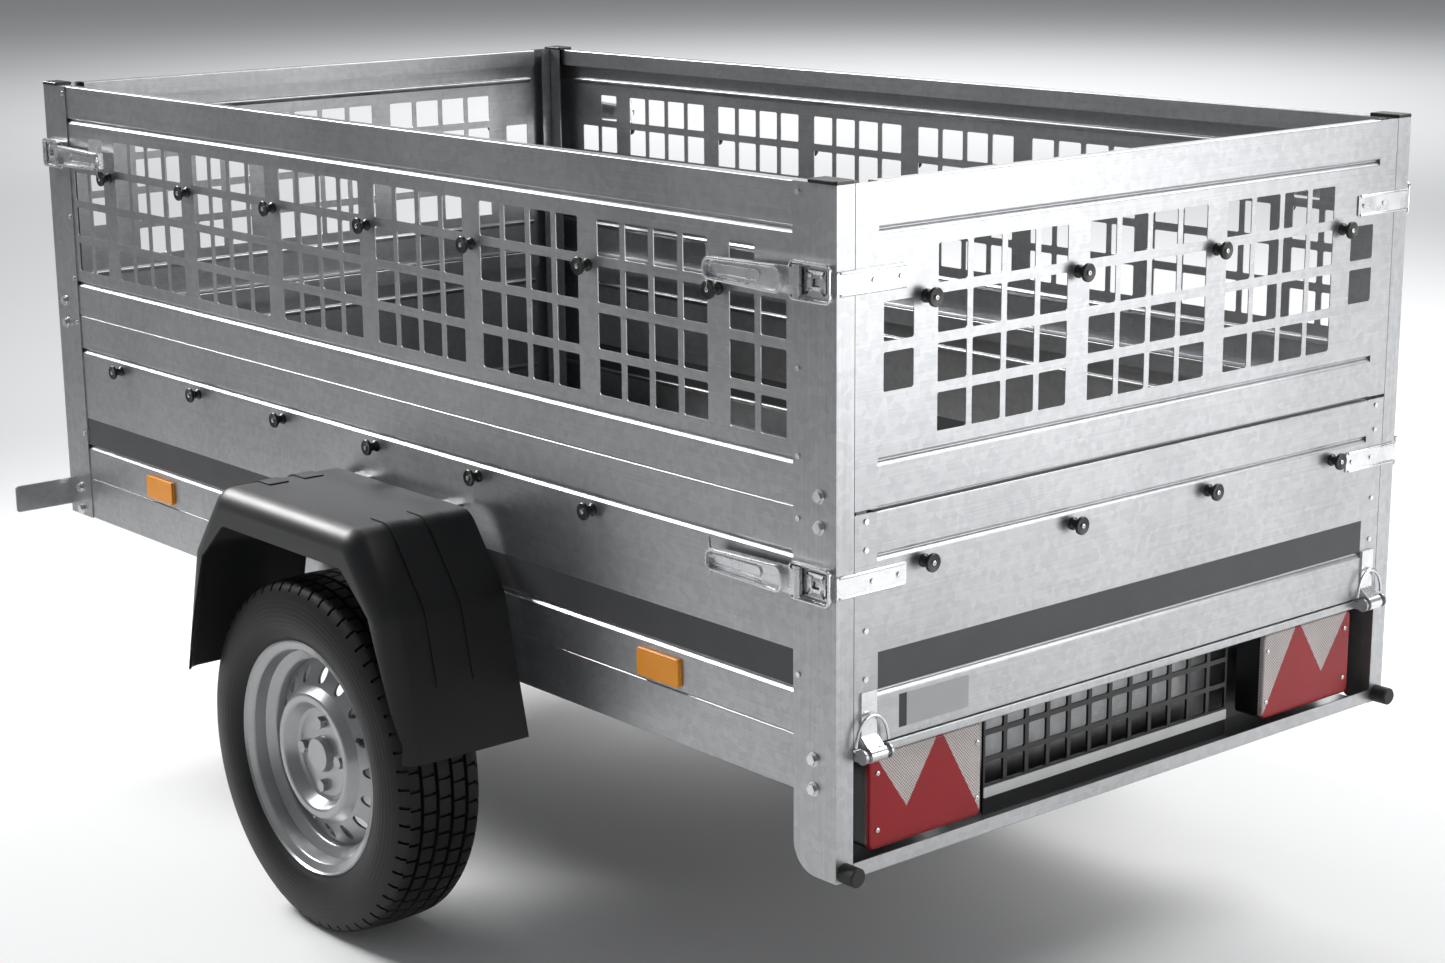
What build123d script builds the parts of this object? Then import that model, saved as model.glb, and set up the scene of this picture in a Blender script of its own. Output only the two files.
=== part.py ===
from build123d import *
import os

os.makedirs("parts", exist_ok=True)

# Small single-axle box trailer with perforated extension walls.
# +X points forwards to the coupling, +Y to the left, +Z up. The ground is z = 0 and the
# origin lies under the middle of the overall length and width. All sizes are millimetres.

# ---- Driving dimensions -------------------------------------------------------------------
box_length = 2080.0
box_width = 1144.0
beam_bottom = 420.0         # underside of the side beams
floor_level = 495.0         # top of the beams, underside of the floor
split_level = 796.0         # joint between the base walls and the extension
top_level = 1205.0
rear_post_bottom = 312.0
drawbar_reach = 950.0       # coupling nose ahead of the box
buffer_reach = 27.0

post_sheet = 2.0
post_side_flange = 80.0
post_web = 30.0
post_inner_flange = 50.0
post_corner_radius = 40.0

sheet = 1.5
hem = 20.0
hem_lip = 30.0
bend = 2.2
groove_depth = 7.0
groove_rise = 2.0
base_grooves = (557.0, 735.0)
mesh_grooves = (857.0, 1147.0)
beam_sheet = 2.0
floor_thickness = 9.0

fit_gap = 1.0               # between a panel and the posts beside it
touch_gap = 0.3             # between a fitting and the face that it slides or turns past
seat_gap = 0.5              # between a fixed member and the post that holds it

# Perforation: groups of four columns and four rows.
hole_rows = 4
hole_height = 50.0
row_pitch = 63.3
lowest_row = 904.0          # centre height of the lowest row
hole_corner = 3.0
side_hole_width = 49.0
side_hole_pitch = 60.0
side_group_pitch = 272.0
side_groups = 6
side_end_columns = (118.0, 178.0)   # columns near each end, from the end of the box
end_hole_width = 52.0
end_hole_pitch = 62.0
end_group_pitch = 280.0
end_groups = 3
end_lone_inset = 105.0      # lone column near each end of an end panel, from the side face
stile_width = 39.0

# Tarpaulin knobs
knob_radius = 12.5
knob_waist = 6.5
knob_reach = 19.0
knob_upper_level = 1055.0
knob_lower_level = 714.0

# Running gear
wheel_from_rear = 965.0
tyre_radius = 273.5
tyre_width = 155.0
rim_radius = 182.5
rim_lip_to_lip = 130.0
wheel_outboard = 127.0      # tyre centre outboard of the side face
hub_offset = 30.0           # hub face outboard of the tyre centre
bolt_circle = 100.0
axle_tube = 70.0
arm_reach = 112.0           # axle tube centre ahead of the wheel
arm_drop = 100.0            # and above it
stub_radius = 20.0
arm_shaft_radius = 22.0
running_gap = 0.3

# Mudguards
guard_from_rear = 953.0
guard_gap = 16.0            # mudguard inboard edge, outboard of the side face
guard_reach = 228.0         # and its outboard edge
guard_top = 668.0
guard_wall = 4.0
guard_edge_radius = 30.0
guard_half_outline = ((186.0, 668.0), (268.0, 560.0), (318.0, 352.0))
guard_lip_outline = ((165.0, 612.0), (232.0, 553.0), (280.0, 424.0), (300.0, 378.0), (302.0, 330.0))

# Drawbar, coupling and jockey wheel
drawbar_size = 60.0
drawbar_wall = 4.0
drawbar_level = 455.0
drawbar_rear = 1040.0       # rear end of the drawbar ahead of the rear face
coupling_bore = 25.2
coupling_shell = 7.0
jockey_ahead = 220.0        # jockey tube ahead of the box
jockey_offset = 75.0        # jockey tube to the right of the middle
jockey_tube = 24.0
jockey_top = 745.0
jockey_wheel_radius = 95.0
jockey_wheel_width = 55.0
jockey_edge = 12.0

# ---- Places worked out from them ----------------------------------------------------------
overall_length = buffer_reach + box_length + drawbar_reach
rear = -overall_length / 2 + buffer_reach
front = rear + box_length
middle = rear + box_length / 2
side_face = box_width / 2
wall_face = side_face - post_sheet
panel_half = side_face - post_web - fit_gap
wheel_x = rear + wheel_from_rear
guard_x = rear + guard_from_rear
wheel_y = side_face + wheel_outboard
guard_inner = side_face + guard_gap
guard_outer = side_face + guard_reach
hub_face = wheel_y + hub_offset
axle_x = wheel_x + arm_reach
axle_z = tyre_radius + arm_drop
nose = front + drawbar_reach

left_right = Plane.XZ
fore_aft = Plane.YZ.offset(middle)


def save(piece, name):
    """Label a finished piece and write its file."""
    piece.part.label = name
    export_step(piece.part, f"parts/{name}.step")


def inward_plane(point, inward):
    """Plane whose local x runs inwards from an outer face and whose local y is up."""
    return Plane(origin=point, x_dir=inward, z_dir=Vector(inward).cross(Vector(0, 0, 1)))


def face_plane(point, outward):
    """Plane on an outer face: local x is level, local y is up, local z points outwards."""
    return Plane(origin=point, x_dir=Vector(0, 0, 1).cross(Vector(outward)), z_dir=outward)


def folded(points, plane, half_length, thickness=sheet, radius=bend):
    """Folded sheet: an outer outline, thickened to its right and run both ways."""
    with BuildPart() as piece:
        with BuildSketch(plane):
            with BuildLine():
                FilletPolyline(*points, radius=radius)
                offset(amount=thickness, side=Side.RIGHT)
            make_face()
        extrude(amount=half_length, both=True)
    return piece


def pressed_outline(bottom, top, grooves):
    """Outline of a pressed wall: hems at both edges and V grooves along it."""
    points = [(hem, bottom), (0, bottom)]
    for level in grooves:
        points += [(0, level - groove_depth), (groove_depth, level), (0, level + groove_rise)]
    points += [(0, top), (hem, top), (hem, top - hem_lip)]
    return points


def hole_grid(group_centres, pitch):
    """Places of the holes in full groups of four columns."""
    places = []
    for centre in group_centres:
        for column in range(4):
            for row in range(hole_rows):
                places.append((centre + (column - 1.5) * pitch, lowest_row + row * row_pitch))
    return places


def row_level(row):
    return lowest_row + row * row_pitch


# ---- Side beams: channels that open inwards ------------------------------------------------
beam_depth = post_web - 2 * post_sheet - seat_gap
beam_half = box_length / 2 - post_sheet - seat_gap
beam_outline = [(beam_depth, beam_bottom), (0, beam_bottom), (0, floor_level), (beam_depth, floor_level)]
left_beam = folded(beam_outline, inward_plane((middle, wall_face, 0), (0, -1, 0)), beam_half, beam_sheet)
with BuildPart() as side_beams:
    add(left_beam.part)
    mirror(left_beam.part, about=left_right)
save(side_beams, "side_beams")

# ---- Cross members and front beam ----------------------------------------------------------
member_flange = 35.0
member_places = (330.0, 700.0, drawbar_rear, 1560.0)
member_outline = [
    (member_flange, beam_bottom),
    (0, beam_bottom),
    (0, floor_level),
    (member_flange, floor_level),
]
member_reach = wall_face - beam_depth - seat_gap
with BuildPart() as drawbar_room:
    with BuildSketch(Plane.YZ.offset(rear + drawbar_rear + member_flange)):
        with Locations((0, drawbar_level)):
            Rectangle(drawbar_size, drawbar_size)
    extrude(amount=box_length)
with BuildPart() as cross_members:
    for place in member_places:
        member_plane = inward_plane((rear + place, 0, 0), (1, 0, 0))
        member = folded(member_outline, member_plane, member_reach, beam_sheet)
        add(member.part)
    add(drawbar_room.part, mode=Mode.SUBTRACT)
save(cross_members, "cross_members")

front_channel = folded(member_outline, inward_plane((front, 0, 0), (-1, 0, 0)), panel_half, beam_sheet)
with BuildPart() as front_beam:
    add(front_channel.part)
    add(drawbar_room.part, mode=Mode.SUBTRACT)
save(front_beam, "front_beam")

# ---- Light beam: lip, shelf, upright and top flange across the rear -------------------------
light_lip_top = 333.0
light_shelf_depth = 95.0
light_top_flange = 30.0
light_outline = [
    (0, light_lip_top),
    (0, rear_post_bottom),
    (light_shelf_depth, rear_post_bottom),
    (light_shelf_depth, floor_level - beam_sheet),
    (light_shelf_depth + light_top_flange, floor_level - beam_sheet),
]
rear_plane = inward_plane((rear, 0, 0), (1, 0, 0))
light_beam = folded(light_outline[::-1], rear_plane, panel_half, beam_sheet)
save(light_beam, "light_beam")

# ---- Rear sill: rounded lip, with the hinge eyes and pins ------------------------------------
sill_top = 484.0
sill_lip_bottom = 471.0
hinge_x = rear - 14.0
hinge_z = 480.0
hinge_pin_length = 48.0
hinge_y = panel_half - hinge_pin_length / 2
hinge_pin_radius = 6.0
hinge_ear = 3.0
ear_radius = 10.0
sill_outline = [
    (14, sill_lip_bottom),
    (1, sill_lip_bottom),
    (1, sill_top),
    (light_shelf_depth - beam_sheet, sill_top),
]
sill_sheet = folded(sill_outline, rear_plane, panel_half, beam_sheet)
with BuildPart() as rear_sill:
    add(sill_sheet.part)
    for side in (1, -1):
        for step in (-1, 1):
            ear_y = side * hinge_y + step * (hinge_pin_length / 2 - hinge_ear / 2)
            with BuildSketch(Plane.XZ.offset(-ear_y)):
                with Locations((hinge_x, hinge_z)):
                    Circle(ear_radius)
                with Locations(((hinge_x + rear + 2) / 2, (sill_top + sill_lip_bottom) / 2)):
                    Rectangle(rear + 2 - hinge_x, sill_top - sill_lip_bottom - 2)
            extrude(amount=hinge_ear / 2, both=True)
        with BuildSketch(Plane.XZ.offset(-side * hinge_y)):
            with Locations((hinge_x, hinge_z)):
                Circle(hinge_pin_radius)
        extrude(amount=hinge_pin_length / 2, both=True)
save(rear_sill, "rear_sill")

# ---- Floor -----------------------------------------------------------------------------------
floor_rear = 30.0
floor_half = wall_face - hem - fit_gap
floor_ends = (rear + floor_rear, front - hem - fit_gap)
with BuildPart() as floor_panel:
    with BuildSketch(Plane.XY.offset(floor_level)):
        with Locations(((floor_ends[0] + floor_ends[1]) / 2, 0)):
            Rectangle(floor_ends[1] - floor_ends[0], 2 * floor_half)
        with Locations(*[(x, y) for x in (rear, front) for y in (floor_half, -floor_half)]):
            Rectangle(
                2 * (post_inner_flange + fit_gap),
                2 * (floor_half - panel_half),
                mode=Mode.SUBTRACT,
            )
    extrude(amount=floor_thickness)
save(floor_panel, "floor_panel")


# ---- Corner posts: side flange, web and inner flange ------------------------------------------
def post_section():
    """Post section at the rear left corner: local x forwards, local y to the left."""
    inner = side_face - post_web
    Polyline(
        (rear + post_side_flange, side_face),
        (rear, side_face),
        (rear, inner),
        (rear + post_inner_flange, inner),
        (rear + post_inner_flange, inner + post_sheet),
        (rear + post_sheet, inner + post_sheet),
        (rear + post_sheet, side_face - post_sheet),
        (rear + post_side_flange, side_face - post_sheet),
        close=True,
    )


def post(bottom, top, rounded):
    """Left rear post from bottom to top, with its lower front corner rounded if asked."""
    with BuildPart() as piece:
        with BuildSketch(Plane.XY.offset(bottom)):
            with BuildLine():
                post_section()
            make_face()
        extrude(amount=top - bottom)
        if rounded:
            corner = piece.edges().filter_by(Axis.Y).group_by(Axis.Z)[0].sort_by(Axis.X)[-1]
            fillet(corner, radius=post_corner_radius)
            inner_corner = piece.edges().filter_by(Axis.Y).group_by(Axis.Z)[0]
            inner_corner = [edge for edge in inner_corner if edge.center().Y < side_face - post_sheet - 1]
            fillet(inner_corner[-1:], radius=post_inner_flange / 3)
    return piece


rear_post = post(rear_post_bottom, split_level, True)
with BuildPart() as base_posts_rear:
    add(rear_post.part)
    mirror(rear_post.part, about=left_right)
save(base_posts_rear, "base_posts_rear")

short_post = post(beam_bottom, split_level, False)
front_post = mirror(short_post.part, about=fore_aft)
with BuildPart() as base_posts_front:
    add(front_post)
    mirror(front_post, about=left_right)
save(base_posts_front, "base_posts_front")

upper_post = post(split_level, top_level, False)
with BuildPart() as extension_posts_left:
    add(upper_post.part)
    mirror(upper_post.part, about=fore_aft)
save(extension_posts_left, "extension_posts_left")
with BuildPart() as extension_posts_right:
    mirror(extension_posts_left.part, about=left_right)
save(extension_posts_right, "extension_posts_right")

# ---- Walls -----------------------------------------------------------------------------------
wall_half = box_length / 2 - post_sheet - seat_gap
base_outline = pressed_outline(floor_level, split_level, base_grooves)
mesh_outline = pressed_outline(split_level, top_level, mesh_grooves)
left_plane = inward_plane((middle, wall_face, 0), (0, -1, 0))

base_wall_left = folded(base_outline, left_plane, wall_half)
save(base_wall_left, "base_wall_left")
with BuildPart() as base_wall_right:
    mirror(base_wall_left.part, about=left_right)
save(base_wall_right, "base_wall_right")

side_centres = [(group - (side_groups - 1) / 2) * side_group_pitch for group in range(side_groups)]
side_holes = hole_grid(side_centres, side_hole_pitch)
for index, from_end in enumerate(side_end_columns):
    for row in range(hole_rows - (1 if index == 0 else 0)):
        for end in (1, -1):
            side_holes.append((end * (box_length / 2 - from_end), row_level(row)))

mesh_sheet = folded(mesh_outline, left_plane, wall_half)
with BuildPart() as mesh_wall_left:
    add(mesh_sheet.part)
    with BuildSketch(face_plane((middle, wall_face, 0), (0, 1, 0))):
        with Locations(*side_holes):
            RectangleRounded(side_hole_width, hole_height, hole_corner)
    extrude(amount=hem / 2, both=True, mode=Mode.SUBTRACT)
save(mesh_wall_left, "mesh_wall_left")
with BuildPart() as mesh_wall_right:
    mirror(mesh_wall_left.part, about=left_right)
save(mesh_wall_right, "mesh_wall_right")


def end_panel(bottom, top, grooves, holes):
    """Panel between the rear posts: a pressed sheet between two upright stiles."""
    field_half = panel_half - stile_width
    field = folded(pressed_outline(bottom, top, grooves), rear_plane, field_half)
    with BuildPart() as piece:
        add(field.part)
        with BuildSketch(Plane.XY.offset(bottom)):
            for side in (1, -1):
                with BuildLine():
                    Polyline(
                        (rear, side * field_half),
                        (rear, side * panel_half),
                        (rear + hem, side * panel_half),
                        (rear + hem, side * (panel_half - hem)),
                        (rear + hem - sheet, side * (panel_half - hem)),
                        (rear + hem - sheet, side * (panel_half - sheet)),
                        (rear + sheet, side * (panel_half - sheet)),
                        (rear + sheet, side * field_half),
                        close=True,
                    )
                make_face()
        extrude(amount=top - bottom)
        if holes:
            with BuildSketch(face_plane((rear, 0, 0), (-1, 0, 0))):
                with Locations(*holes):
                    RectangleRounded(end_hole_width, hole_height, hole_corner)
            extrude(amount=hem / 2, both=True, mode=Mode.SUBTRACT)
    return piece


end_centres = [(group - (end_groups - 1) / 2) * end_group_pitch for group in range(end_groups)]
end_holes = hole_grid(end_centres, end_hole_pitch)
end_lone_column = side_face - end_lone_inset
end_holes += [(side * end_lone_column, row_level(row)) for side in (1, -1) for row in (1, 2)]

tailgate_bottom = 486.0
tailgate_top = split_level - 4.0
mesh_panel_bottom = split_level + fit_gap
tailgate_panel = end_panel(tailgate_bottom, tailgate_top, base_grooves, [])
save(tailgate_panel, "tailgate_panel")
mesh_tailgate_panel = end_panel(mesh_panel_bottom, top_level, mesh_grooves, end_holes)
save(mesh_tailgate_panel, "mesh_tailgate_panel")
with BuildPart() as mesh_front_panel:
    mirror(mesh_tailgate_panel.part, about=fore_aft)
save(mesh_front_panel, "mesh_front_panel")
rear_twin = end_panel(floor_level, split_level, base_grooves, [])
with BuildPart() as base_wall_front:
    mirror(rear_twin.part, about=fore_aft)
save(base_wall_front, "base_wall_front")

# ---- Post caps --------------------------------------------------------------------------------
cap_length = 52.0
cap_height = 5.0
cap_overhang = 2.0          # past the side flange only: the panels slide up past the other faces
cap_corner = 3.0
cap_edge = 1.0
with BuildPart() as rear_cap:
    with BuildSketch(Plane.XY.offset(top_level)):
        with Locations((rear + cap_length / 2, side_face + (cap_overhang - post_web) / 2)):
            RectangleRounded(cap_length, post_web + cap_overhang, cap_corner)
    extrude(amount=cap_height)
    chamfer(rear_cap.faces().sort_by(Axis.Z)[-1].edges(), length=cap_edge)
with BuildPart() as left_caps:
    add(rear_cap.part)
    mirror(rear_cap.part, about=fore_aft)
with BuildPart() as post_caps:
    add(left_caps.part)
    mirror(left_caps.part, about=left_right)
save(post_caps, "post_caps")

# ---- Tarpaulin knobs ----------------------------------------------------------------------------
knob_foot = 9.0
knob_foot_height = 2.0
knob_head = 5.0
knob_flare = 3.0            # height of each slope between the waist and the foot or head
knob_rim = 1.0
knob_dimple = 3.5
with BuildPart() as knob:
    with BuildSketch(Plane.XZ):
        with BuildLine():
            Polyline(
                (0, 0),
                (knob_foot, 0),
                (knob_foot, knob_foot_height),
                (knob_waist, knob_foot_height + knob_flare),
                (knob_waist, knob_reach - knob_head - knob_flare),
                (knob_radius, knob_reach - knob_head + knob_rim),
                (knob_radius, knob_reach - knob_rim),
                (knob_radius - knob_rim, knob_reach),
                (knob_dimple, knob_reach - knob_rim),
                (0, knob_reach - knob_rim),
                close=True,
            )
        make_face()
    revolve(axis=Axis.Z)


def knobs(places, name):
    """Knobs on outer faces: each place is a point on the face and its outward direction."""
    with BuildPart() as group:
        for point, outward in places:
            with Locations(face_plane(point, outward).location):
                add(knob.part)
    save(group, name)


knob_columns = [middle + step * side_group_pitch for step in range(-3, 4)]
wall_knob_places = []
for face_y in (wall_face, -wall_face):
    outward = (0, 1 if face_y > 0 else -1, 0)
    wall_knob_places += [((x, face_y, knob_upper_level), outward) for x in knob_columns]
    wall_knob_places += [((x, face_y, knob_lower_level), outward) for x in knob_columns[1:]]
end_knob_columns = [(step - 1.5) * end_group_pitch for step in range(4)]
wall_knob_places += [((front, y, knob_lower_level), (1, 0, 0)) for y in end_knob_columns]
knobs(wall_knob_places, "wall_knobs")
knobs([((rear, y, knob_lower_level), (-1, 0, 0)) for y in end_knob_columns], "tailgate_knobs")
knobs([((rear, y, knob_upper_level), (-1, 0, 0)) for y in end_knob_columns], "mesh_tailgate_knobs")
knobs([((front, y, knob_upper_level), (1, 0, 0)) for y in end_knob_columns], "mesh_front_knobs")

# ---- Bolts and rivets on the posts --------
bolt_head_radius = 7.5
bolt_head_height = 5.0
washer_radius = 9.5
washer_height = 1.5
rivet_radius = 3.8
rivet_height = 1.8
rear_bolt_places = ((41.0, 431.0), (41.0, 471.0), (30.0, 777.0), (30.0, 817.0))
side_rivets = ((70.0, 577.0), (70.0, 782.0), (70.0, 862.0), (70.0, 973.0), (70.0, 1192.0))
with BuildPart() as rear_left_bolts:
    side_plane = face_plane((rear, side_face, 0), (0, 1, 0))
    with BuildSketch(side_plane):
        with Locations(*[(-x, z) for x, z in rear_bolt_places]):
            Circle(washer_radius)
    extrude(amount=washer_height)
    with BuildSketch(side_plane.offset(washer_height)):
        with Locations(*[(-x, z) for x, z in rear_bolt_places]):
            RegularPolygon(bolt_head_radius, 6)
    extrude(amount=bolt_head_height)
    with BuildSketch(side_plane):
        with Locations(*[(-x, z) for x, z in side_rivets]):
            Circle(rivet_radius)
    extrude(amount=rivet_height)
with BuildPart() as left_bolts:
    add(rear_left_bolts.part)
    mirror(rear_left_bolts.part, about=fore_aft)
with BuildPart() as frame_bolts:
    add(left_bolts.part)
    mirror(left_bolts.part, about=left_right)
save(frame_bolts, "frame_bolts")

# ---- Mudguards --------
def guard_block(outline, inner, outer, edge_radius, corner_radius):
    """Solid under a mirrored half outline, with its outer side edge rounded."""
    points = [(-x, z) for x, z in outline[::-1]] + list(outline)
    with BuildPart() as block:
        with BuildSketch(Plane.XZ.offset(-inner)):
            with BuildLine():
                FilletPolyline(*[(guard_x + x, z) for x, z in points], radius=corner_radius)
                Line((guard_x + points[-1][0], points[-1][1]), (guard_x + points[0][0], points[0][1]))
            make_face()
        extrude(amount=-(outer - inner))
        if edge_radius:
            side = block.faces().sort_by(Axis.Y)[-1]
            bottom = side.edges().sort_by(Axis.Z)[0]
            fillet([edge for edge in side.edges() if edge.center().Z > bottom.center().Z + 1], edge_radius)
    return block


def shrunk(outline, wall):
    """Outline moved in by the wall: the top goes down and each slope goes in."""
    (top_x, top_z), (knee_x, knee_z), (foot_x, foot_z) = outline
    inner_top = (top_x - wall * 0.6, top_z - wall)
    inner_knee = (knee_x - wall * 1.1, knee_z - wall * 0.5)
    return (inner_top, inner_knee, (foot_x - wall, foot_z))


guard_bend = 40.0
guard_lip_bend = 15.0
guard_lip_depth = 50.0      # how far inboard the wheel opening is cut
with BuildPart() as mudguard_left:
    add(guard_block(guard_half_outline, guard_inner, guard_outer, guard_edge_radius, guard_bend).part)
    hollow = guard_block(
        shrunk(guard_half_outline, guard_wall),
        guard_inner - 1,
        guard_outer - guard_wall,
        guard_edge_radius - guard_wall,
        guard_bend - guard_wall,
    )
    add(hollow.part, mode=Mode.SUBTRACT)
    lip_inner = guard_outer - guard_lip_depth
    wheel_opening = guard_block(guard_lip_outline, lip_inner, guard_outer + 1, 0, guard_lip_bend)
    add(wheel_opening.part, mode=Mode.SUBTRACT)

# Two raised ribs run over the front and rear of each mudguard.
rib_height = 2.5
rib_width = 34.0
rib_places = (guard_inner + 62.0, guard_inner + 124.0)
rib_bottom = 452.0
rib_inboard = 140.0
rib_slope = 0.8             # share of the rib height that each direction gains on a slope
rib_trim = (900.0, 400.0)   # room that takes in the whole guard, seen from above
rib_trim_height = 300.0
raised = tuple((x + rib_height * rib_slope, z + rib_height * rib_slope) for x, z in guard_half_outline)
with BuildPart() as ribs:
    for place in rib_places:
        add(guard_block(raised, place - rib_width / 2, place + rib_width / 2, 0, guard_bend).part)
    add(guard_block(guard_half_outline, guard_inner, guard_outer, 0, guard_bend).part, mode=Mode.SUBTRACT)
    with Locations((guard_x, wheel_y, rib_bottom - rib_trim_height / 2)):
        Box(*rib_trim, rib_trim_height, mode=Mode.SUBTRACT)
    with Locations((guard_x, wheel_y, guard_top)):
        Box(2 * rib_inboard, rib_trim[1], rib_trim_height / 3, mode=Mode.SUBTRACT)
with mudguard_left:
    add(ribs.part)
save(mudguard_left, "mudguard_left")
with BuildPart() as mudguard_right:
    mirror(mudguard_left.part, about=left_right)
save(mudguard_right, "mudguard_right")

bracket_width = 40.0
bracket_sheet = 4.0
bracket_spacing = 240.0
bracket_drop = 60.0
with BuildPart() as left_brackets:
    for x in (guard_x - bracket_spacing / 2, guard_x + bracket_spacing / 2):
        with BuildSketch(Plane.YZ.offset(x)):
            with BuildLine():
                Polyline(
                    (wall_face, guard_top - guard_wall),
                    (guard_inner + bracket_width, guard_top - guard_wall),
                    (guard_inner + bracket_width, guard_top - guard_wall - bracket_sheet),
                    (wall_face + bracket_sheet, guard_top - guard_wall - bracket_sheet),
                    (wall_face + bracket_sheet, guard_top - guard_wall - bracket_drop),
                    (wall_face, guard_top - guard_wall - bracket_drop),
                    close=True,
                )
            make_face()
        extrude(amount=bracket_width / 2, both=True)
with BuildPart() as mudguard_brackets:
    add(left_brackets.part)
    mirror(left_brackets.part, about=left_right)
save(mudguard_brackets, "mudguard_brackets")

# ---- Tail lamps: housing, red and clear lens zones --------
lamp_face = rear + 12.0
lamp_inset = 39.0           # outer edge of a lamp, from the edge of the tailgate
lamp_outer = panel_half - lamp_inset
lamp_width = 205.0
lamp_bottom = 336.0
lamp_height = 130.0
lamp_depth = 50.0
lens_depth = 8.0
lamp_corner = 8.0
lens_edge = 3.0
lamp_stud = 6.0
red_wedge = ((0, 0), (50, 0), (67, 47), (9, 130), (0, 130))
red_triangle = ((50, 0), (205, 0), (205, 4), (133, 130), (121, 130), (67, 47))
lamp_plane = Plane(origin=(lamp_face, lamp_outer, lamp_bottom), x_dir=(0, -1, 0), z_dir=(-1, 0, 0))

with BuildPart() as left_housing:
    with BuildSketch(lamp_plane.offset(-lens_depth)):
        with Locations((lamp_width / 2, lamp_height / 2)):
            RectangleRounded(lamp_width, lamp_height, lamp_corner)
    extrude(amount=-(lamp_depth - lens_depth))
    with BuildSketch(lamp_plane.offset(-lamp_depth)):
        with Locations((lamp_width * 0.3, lamp_height / 2), (lamp_width * 0.7, lamp_height / 2)):
            Circle(lamp_stud)
    extrude(amount=-(rear + light_shelf_depth - beam_sheet - lamp_face - lamp_depth))
with BuildPart() as lamp_housings:
    add(left_housing.part)
    mirror(left_housing.part, about=left_right)
save(lamp_housings, "lamp_housings")

with BuildPart() as left_lens:
    with BuildSketch(lamp_plane):
        with Locations((lamp_width / 2, lamp_height / 2)):
            RectangleRounded(lamp_width, lamp_height, lamp_corner)
    extrude(amount=-lens_depth)
    front_edges = left_lens.faces().sort_by(Axis.X)[0].edges()
    fillet(front_edges, radius=lens_edge)
with BuildPart() as red_zones:
    with BuildSketch(lamp_plane):
        with BuildLine():
            Polyline(*red_wedge, close=True)
        make_face()
        with BuildLine():
            Polyline(*red_triangle, close=True)
        make_face()
    extrude(amount=-lens_depth)
with BuildPart() as left_red:
    add(left_lens.part)
    add(red_zones.part, mode=Mode.INTERSECT)
with BuildPart() as left_clear:
    add(left_lens.part)
    add(red_zones.part, mode=Mode.SUBTRACT)
with BuildPart() as lamp_red_lenses:
    add(left_red.part)
    mirror(left_red.part, about=left_right)
save(lamp_red_lenses, "lamp_red_lenses")
with BuildPart() as lamp_clear_lenses:
    add(left_clear.part)
    mirror(left_clear.part, about=left_right)
save(lamp_clear_lenses, "lamp_clear_lenses")

# ---- Number-plate holder: lattice and plain strip --------
plate_face = rear + 47.0
plate_half = 256.0
plate_bottom = rear_post_bottom + beam_sheet
plate_top = 470.0
plate_thickness = 4.0
plate_cells = 12
plate_levels = 3
plate_bar = 7.0
plate_corner = 5.0
cell_corner = 3.0
strip_bottom = 339.0
strip_height = 15.0
strip_thickness = 1.5
with BuildPart() as plate_holder:
    with BuildSketch(Plane(origin=(plate_face, 0, 0), x_dir=(0, -1, 0), z_dir=(-1, 0, 0))):
        with Locations((0, (plate_bottom + plate_top) / 2)):
            RectangleRounded(2 * plate_half, plate_top - plate_bottom, plate_corner)
        cell_width = 2 * plate_half / plate_cells
        cell_height = (plate_top - strip_bottom - strip_height) / plate_levels
        cell_size = (cell_width - plate_bar, cell_height - plate_bar)
        for level in range(plate_levels):
            for cell in range(plate_cells):
                centre_y = (cell - (plate_cells - 1) / 2) * cell_width
                centre_z = strip_bottom + strip_height + (level + 0.5) * cell_height
                with Locations((centre_y, centre_z)):
                    RectangleRounded(*cell_size, cell_corner, mode=Mode.SUBTRACT)
    extrude(amount=-plate_thickness)
save(plate_holder, "plate_holder")
with BuildPart() as plate_strip:
    with BuildSketch(Plane(origin=(plate_face, 0, 0), x_dir=(0, -1, 0), z_dir=(-1, 0, 0))):
        with Locations((0, strip_bottom + strip_height / 2)):
            RectangleRounded(2 * plate_half, strip_height, strip_thickness)
    extrude(amount=strip_thickness)
save(plate_strip, "plate_strip")

# ---- Amber side reflectors, front marker arms and rear buffers --------
reflector_places = (352.0, 1733.0)
reflector_size = (90.0, 40.0)
reflector_thickness = 6.0
reflector_level = 521.0
reflector_corner = 5.0
reflector_edge = 1.5
with BuildPart() as left_reflectors:
    with BuildSketch(face_plane((rear, wall_face, reflector_level), (0, 1, 0))):
        with Locations(*[(-x, 0) for x in reflector_places]):
            RectangleRounded(*reflector_size, reflector_corner)
    extrude(amount=reflector_thickness)
    fillet(left_reflectors.faces().filter_by(Axis.Y).group_by(Axis.Y)[-1].edges(), radius=reflector_edge)
with BuildPart() as side_reflectors:
    add(left_reflectors.part)
    mirror(left_reflectors.part, about=left_right)
save(side_reflectors, "side_reflectors")

arm_level = (434.0, 482.0)
arm_span = (side_face - 72.0, side_face + 109.0)
arm_sheet = 4.0
arm_corner = 5.0
with BuildPart() as left_arm:
    with BuildSketch(face_plane((front, 0, 0), (1, 0, 0))):
        with Locations(((arm_span[0] + arm_span[1]) / 2, (arm_level[0] + arm_level[1]) / 2)):
            RectangleRounded(arm_span[1] - arm_span[0], arm_level[1] - arm_level[0], arm_corner)
    extrude(amount=arm_sheet)
with BuildPart() as marker_arms:
    add(left_arm.part)
    mirror(left_arm.part, about=left_right)
save(marker_arms, "marker_arms")

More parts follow.
